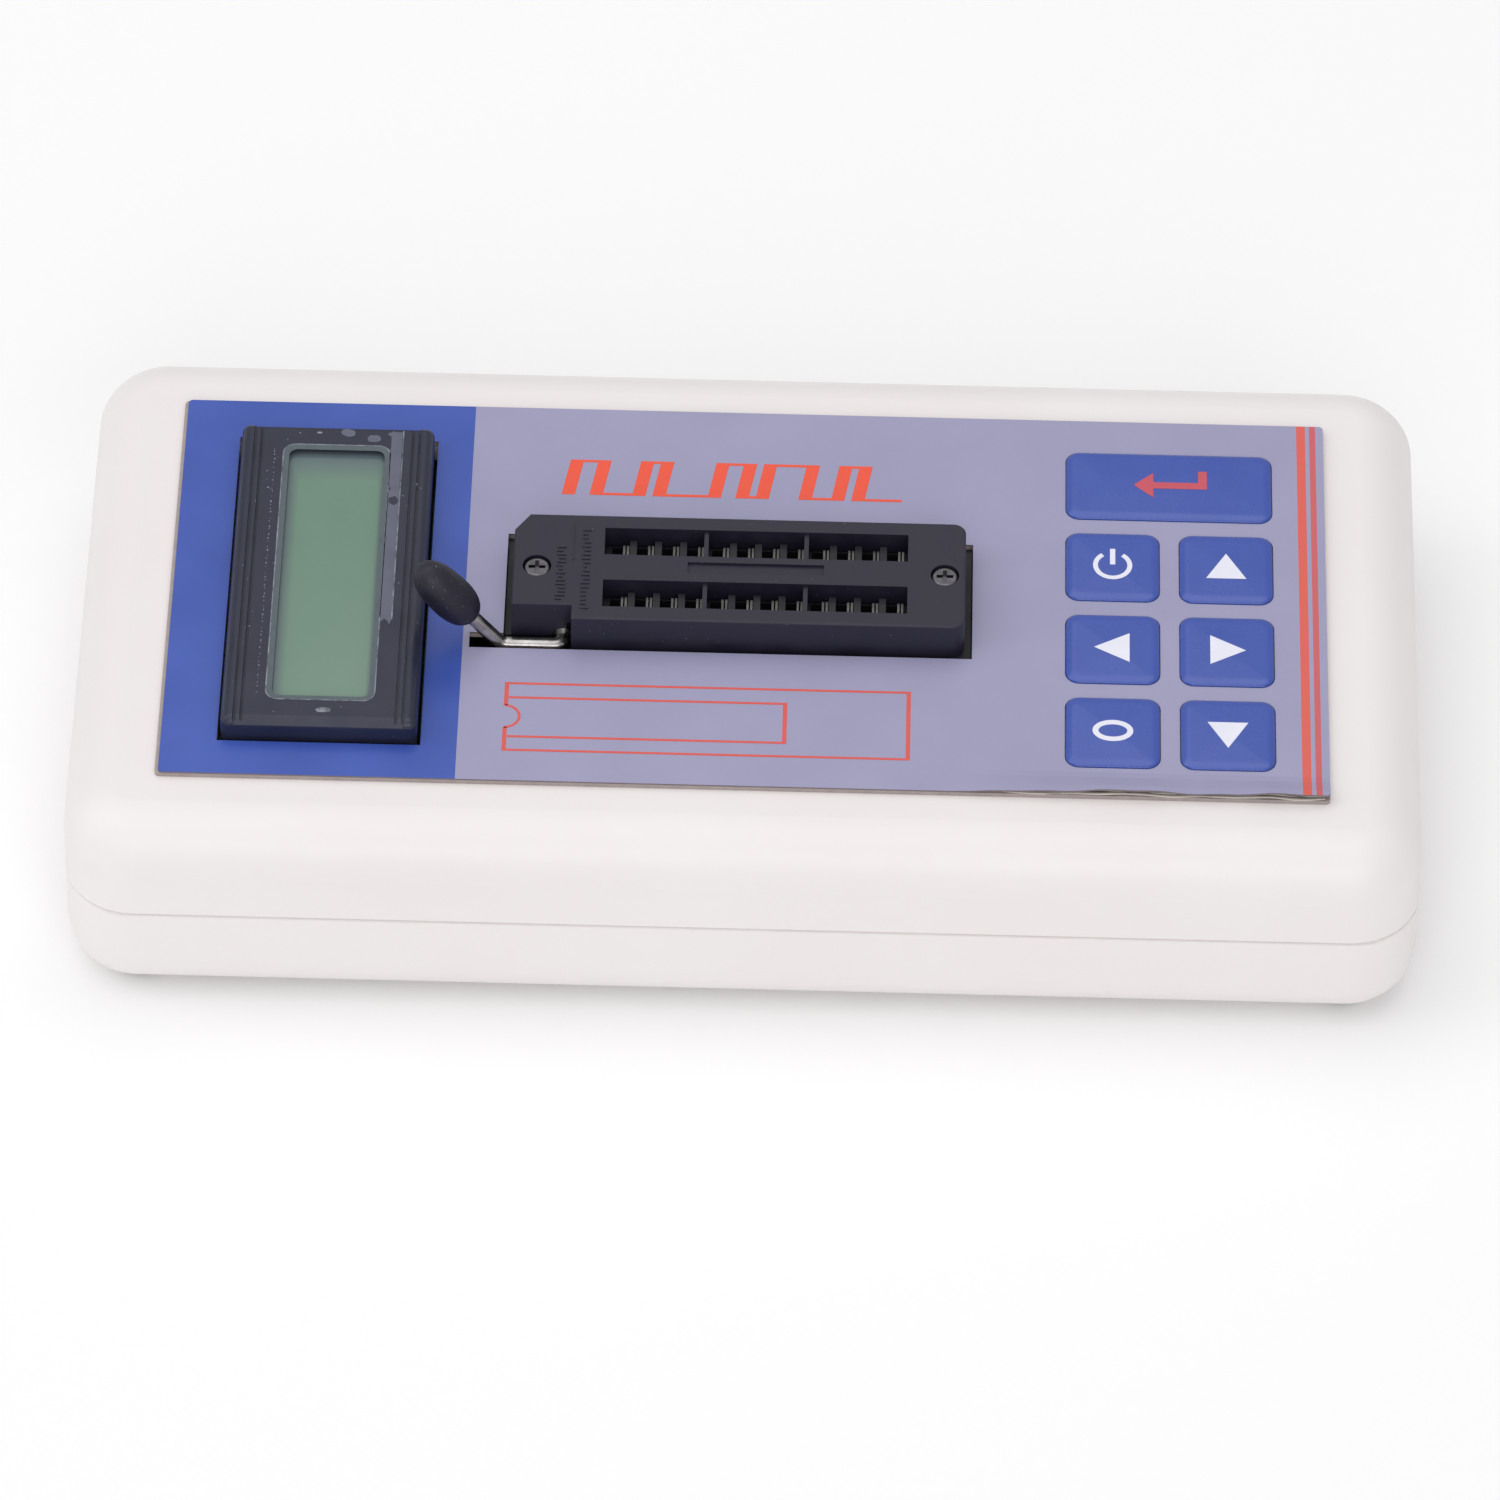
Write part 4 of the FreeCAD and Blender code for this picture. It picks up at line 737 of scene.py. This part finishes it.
def drawChip():
    d = chipDrawing
    x0, x1, y0, y1 = d["outer"]
    t, s = d["upright"], d["level"]
    a0, a1, b0, b1 = d["inner"]
    notchY, r = d["notchY"], d["notchRadius"]
    inkShape("chipOutlineBottom", [bar(x0, x1, y0, y0 + s)], "inkRed")
    inkShape("chipOutlineTop", [bar(x0, x1, y1 - s, y1)], "inkRed")
    inkShape("chipOutlineRight", [bar(x1 - t, x1, y0 + s, y1 - s)], "inkRed")
    left = [bar(x0, x0 + t, y0 + s, notchY - r), bar(x0, x0 + t, notchY + r, y1 - s)]
    inkShape("chipOutlineLeft", left, "inkRed")
    inkShape("chipNotch", [arcBand(r, s, -90, 90, x0 + 0.1, notchY)], "inkRed")
    inkShape("chipInnerTop", [bar(a0 + t, a1, b1 - s, b1)], "inkRed")
    inkShape("chipInnerBottom", [bar(a0 + t, a1, b0, b0 + s)], "inkRed")
    inkShape("chipInnerRight", [bar(a1 - t, a1, b0 + s, b1 - s)], "inkRed")


# the printed pulses, in mm
pulseDrawing = {
    "left": -19.6, "right": 15.2, "low": 13.9, "high": 18.9, "bold": 1.35, "thin": 0.34, "slant": 0.16,
    "widths": (2.2, 3.4, 1.6, 4.4, 2.2, 1.6, 3.4, 2.6, 1.6, 4.0),
}


def drawPulses():
    # a slanted row of logic pulses: bold uprights joined by thin levels
    d = pulseDrawing

    def lean(points):
        return [(x + (y - d["low"]) * d["slant"], y) for x, y in points]

    x = d["left"]
    scale = (d["right"] - d["left"]) / sum(d["widths"])
    high = True
    shapes = []
    for width in d["widths"]:
        w = width * scale
        level = d["high"] - d["thin"] if high else d["low"]
        shapes.append(lean(bar(x + d["bold"], x + w, level, level + d["thin"])))
        shapes.append(lean(bar(x, x + d["bold"], d["low"], d["high"])))
        x += w
        high = not high
    for number, shape in enumerate(shapes):
        inkShape("pulse_%02d" % number, [shape], "inkOrange")


drawChip()
drawPulses()
print("printed graphics made")


# display face: bright rim round the window with a painted highlight, a band of painted shade at the window's
# edge, haze of film left on the bezel and dust;
# places are from the bezel's middle, in mm
displayLook = {
    "windowCorner": 0.9, "chamfer": 0.25, "rimGap": 0.01,
    "rim": 0.13,              # bright line round the window: film edge with a painted highlight of its bevel
    "band": (0.30, 0.22, 0.42, 0.20),     # painted shade over the window's edge: left, right, back, front
    "haze": 0.014,            # thickness of marks
    "strip": ((6.30, -6.9), (6.48, -7.3), (6.62, -6.7), (6.66, 20.0), (5.46, 20.0), (5.52, 17.9),
              (5.42, 17.2), (5.46, 12.4), (5.75, 11.9), (5.46, 11.3), (5.44, 2.0), (5.45, -6.2),
              (5.62, -6.9), (5.95, -6.5)),
    "stripLine": (6.62, 6.76, -6.6, 20.2),
    "blots": (                # x, y, radius along x and y, finish
        (1.05, 19.75, 0.80, 0.55, "filmHaze"), (3.70, 19.0, 0.72, 0.52, "filmHaze"),
        (5.85, 19.7, 0.75, 0.40, "filmHaze"), (6.05, 10.2, 0.50, 0.62, "bezelBlack"),
        (0.42, -19.35, 0.82, 0.36, "dustAndGlint"), (-1.9, 19.7, 0.3, 0.14, "dustAndGlint"),
        (-7.0, 14.0, 0.09, 0.07, "dustAndGlint"), (-3.9, 19.6, 0.10, 0.07, "dustAndGlint"),
        (8.35, 12.6, 0.11, 0.08, "dustAndGlint"), (7.2, -1.5, 0.08, 0.10, "dustAndGlint"),
        (-7.6, -8.0, 0.07, 0.08, "dustAndGlint"), (2.2, -18.9, 0.08, 0.08, "dustAndGlint")),
    "dots": dict(x=-6.35, start=-17.2, end=17.4, count=58, size=(0.035, 0.085)),
    "seed": 4,
}


def blotOutline(cx, cy, rx, ry, chance, steps=20):
    turns = [2 * math.pi * n / steps for n in range(steps)]
    return [(cx + rx * math.cos(a) * w, cy + ry * math.sin(a) * w)
            for a, w in ((a, 0.85 + 0.25 * chance.random()) for a in turns)]


def buildDisplay():
    look = displayLook
    low, high = boxOf("display_bezel")
    place = dict(top=high.z, shift=((low.x + high.x) / 2, (low.y + high.y) / 2), thickness=look["haze"])
    chance = random.Random(look["seed"])
    width, length = glassLook["window"]
    corner, chamfer = look["windowCorner"], look["chamfer"]

    def grown(by):
        return roundedOutline(0, 0, width + 2 * by, length + 2 * by, corner + by)

    rim = [grown(chamfer + look["rim"]), grown(chamfer + look["rimGap"])]
    # the rim's bright line is a painted highlight on the window's bevel
    inkShape("windowRim", rim, "dustAndGlint", **place)
    left, right, back, front = look["band"]
    inner = roundedOutline((left - right) / 2, (front - back) / 2,
                           width - left - right, length - front - back, corner)
    # painted shade: a grey band over the chamfer and the window's edge, widest at the back and left
    inkShape("windowShadeBand", [grown(chamfer), inner], "paintedShadeBand", **place)
    inkShape("filmStrip", [look["strip"]], "filmHaze", **place)
    inkShape("filmStripLine", [bar(*look["stripLine"])], "dustAndGlint", **place)
    for number, (x, y, rx, ry, finish) in enumerate(look["blots"]):
        inkShape("filmBlot_%02d" % number, [blotOutline(x, y, rx, ry, chance)], finish,
                 **dict(place, thickness=look["haze"] + 0.004))
    dots = look["dots"]
    outlines = []
    for n in range(dots["count"]):
        y = dots["start"] + (dots["end"] - dots["start"]) * (n + 0.6 * chance.random()) / dots["count"]
        size = chance.uniform(*dots["size"])
        outlines.append(blotOutline(dots["x"] + 0.05 * chance.uniform(-1, 1), y, size, size * 1.5, chance, 7))
    inkShape("dustLine", outlines, "dustAndGlint", **place)


buildDisplay()
print("display details made")


# small embossed bars on the socket cover, in mm: x, y range and width of each column, bars in it
socketMarks = {
    "rise": 0.09,
    "columns": (              # x of its middle, first and last y from the cover's middle, width, bars
        (-19.15, -4.9, 2.9, 0.95, 15),
        (-16.65, -6.1, 5.4, 0.85, 20),
    ),
    "line": (-17.95, 0.9, 5.9, 0.12),
    "seed": 11,
}


def buildSocketMarks():
    look = socketMarks
    low, high = boxOf("socket_cover")
    cy = (low.y + high.y) / 2
    chance = random.Random(look["seed"])
    outlines = []
    for x, first, last, width, count in look["columns"]:
        pitch = (last - first) / count
        for n in range(count):
            y = cy + first + pitch * (n + 0.5)
            start = x - width / 2 + chance.choice((0.0, 0.0, 0.25)) * width
            end = x + width / 2 - chance.choice((0.0, 0.0, 0.35)) * width
            outlines.append(bar(start, end, y - pitch * 0.22, y + pitch * 0.22))
            if chance.random() < 0.5:
                outlines.append(bar(start, start + 0.14, y + pitch * 0.22, y + pitch * 0.6))
    x, first, last, width = look["line"]
    outlines.append(bar(x - width / 2, x + width / 2, cy + first, cy + last))
    inkShape("socketMarks", outlines, "socketBlack", top=high.z, thickness=look["rise"])


buildSocketMarks()
print("socket marks made")


floorLook = {"half": 3.0, "below": 0.0002}       # metres


def buildStage():
    bm = bmesh.new()
    half = floorLook["half"]
    bm.faces.new([bm.verts.new((x, y, -floorLook["below"])) for x, y in bar(-half, half, -half, half)])
    floor = bpy.data.objects.new("studioFloor", meshFrom("studioFloor", bm, smooth=False))
    floor.data.materials.append(finishes["stageWhite"].material)
    scene.collection.objects.link(floor)


studio = {
    "world": 0.50,
    "lights": {
        "overhead": dict(place=(-0.10, 0.10, 1.10), size=(1.4, 1.2), power=5.5),
        "frontFill": dict(place=(0.15, -1.2, 0.75), size=(1.2, 0.8), power=4.9),
        "leftSide": dict(place=(-1.1, -0.1, 0.7), size=(0.8, 0.9), power=2.2),
    },
}


def buildLights():
    world = bpy.data.worlds.new("softWorld")
    scene.world = world
    world.use_nodes = True
    background = world.node_tree.nodes["Background"]
    background.inputs[0].default_value = (1.0, 1.0, 1.0, 1.0)
    background.inputs[1].default_value = studio["world"]
    for name, look in studio["lights"].items():
        light = bpy.data.lights.new(name, "AREA")
        light.shape = "RECTANGLE"
        light.size, light.size_y = look["size"]
        light.energy = look["power"]
        lamp = bpy.data.objects.new(name, light)
        scene.collection.objects.link(lamp)
        lamp.location = look["place"]
        aim = Vector((0, 0, 0.02)) - lamp.location
        lamp.rotation_euler = aim.to_track_quat("-Z", "Y").to_euler()


cameraLook = {
    "place": (0.00810, -0.72807, 0.77918),
    "yaw": -0.616, "elevation": 46.889, "roll": 0.952,    # degrees
    "lens": 248.085,
}


def buildCamera():
    data = bpy.data.cameras.new("viewCamera")
    data.lens = cameraLook["lens"]
    data.sensor_width = 36.0
    data.clip_start = 0.05
    camera = bpy.data.objects.new("viewCamera", data)
    scene.collection.objects.link(camera)
    yaw, tilt, roll = (math.radians(cameraLook[k]) for k in ("yaw", "elevation", "roll"))
    turn = Matrix(((math.cos(yaw), -math.sin(yaw), 0), (math.sin(yaw), math.cos(yaw), 0), (0, 0, 1)))
    pitch = Matrix(((1, 0, 0), (0, -math.sin(tilt), -math.cos(tilt)), (0, math.cos(tilt), -math.sin(tilt))))
    lean = Matrix(((math.cos(roll), -math.sin(roll), 0), (math.sin(roll), math.cos(roll), 0), (0, 0, 1)))
    seen = lean @ pitch @ turn
    camera.matrix_world = (Matrix.Translation(cameraLook["place"])
                           @ (seen.transposed() @ Matrix.Diagonal((1, -1, -1))).to_4x4())
    scene.camera = camera


buildStage()
buildLights()
buildCamera()
scene.view_settings.view_transform = "Standard"
print("stage, light and camera made")
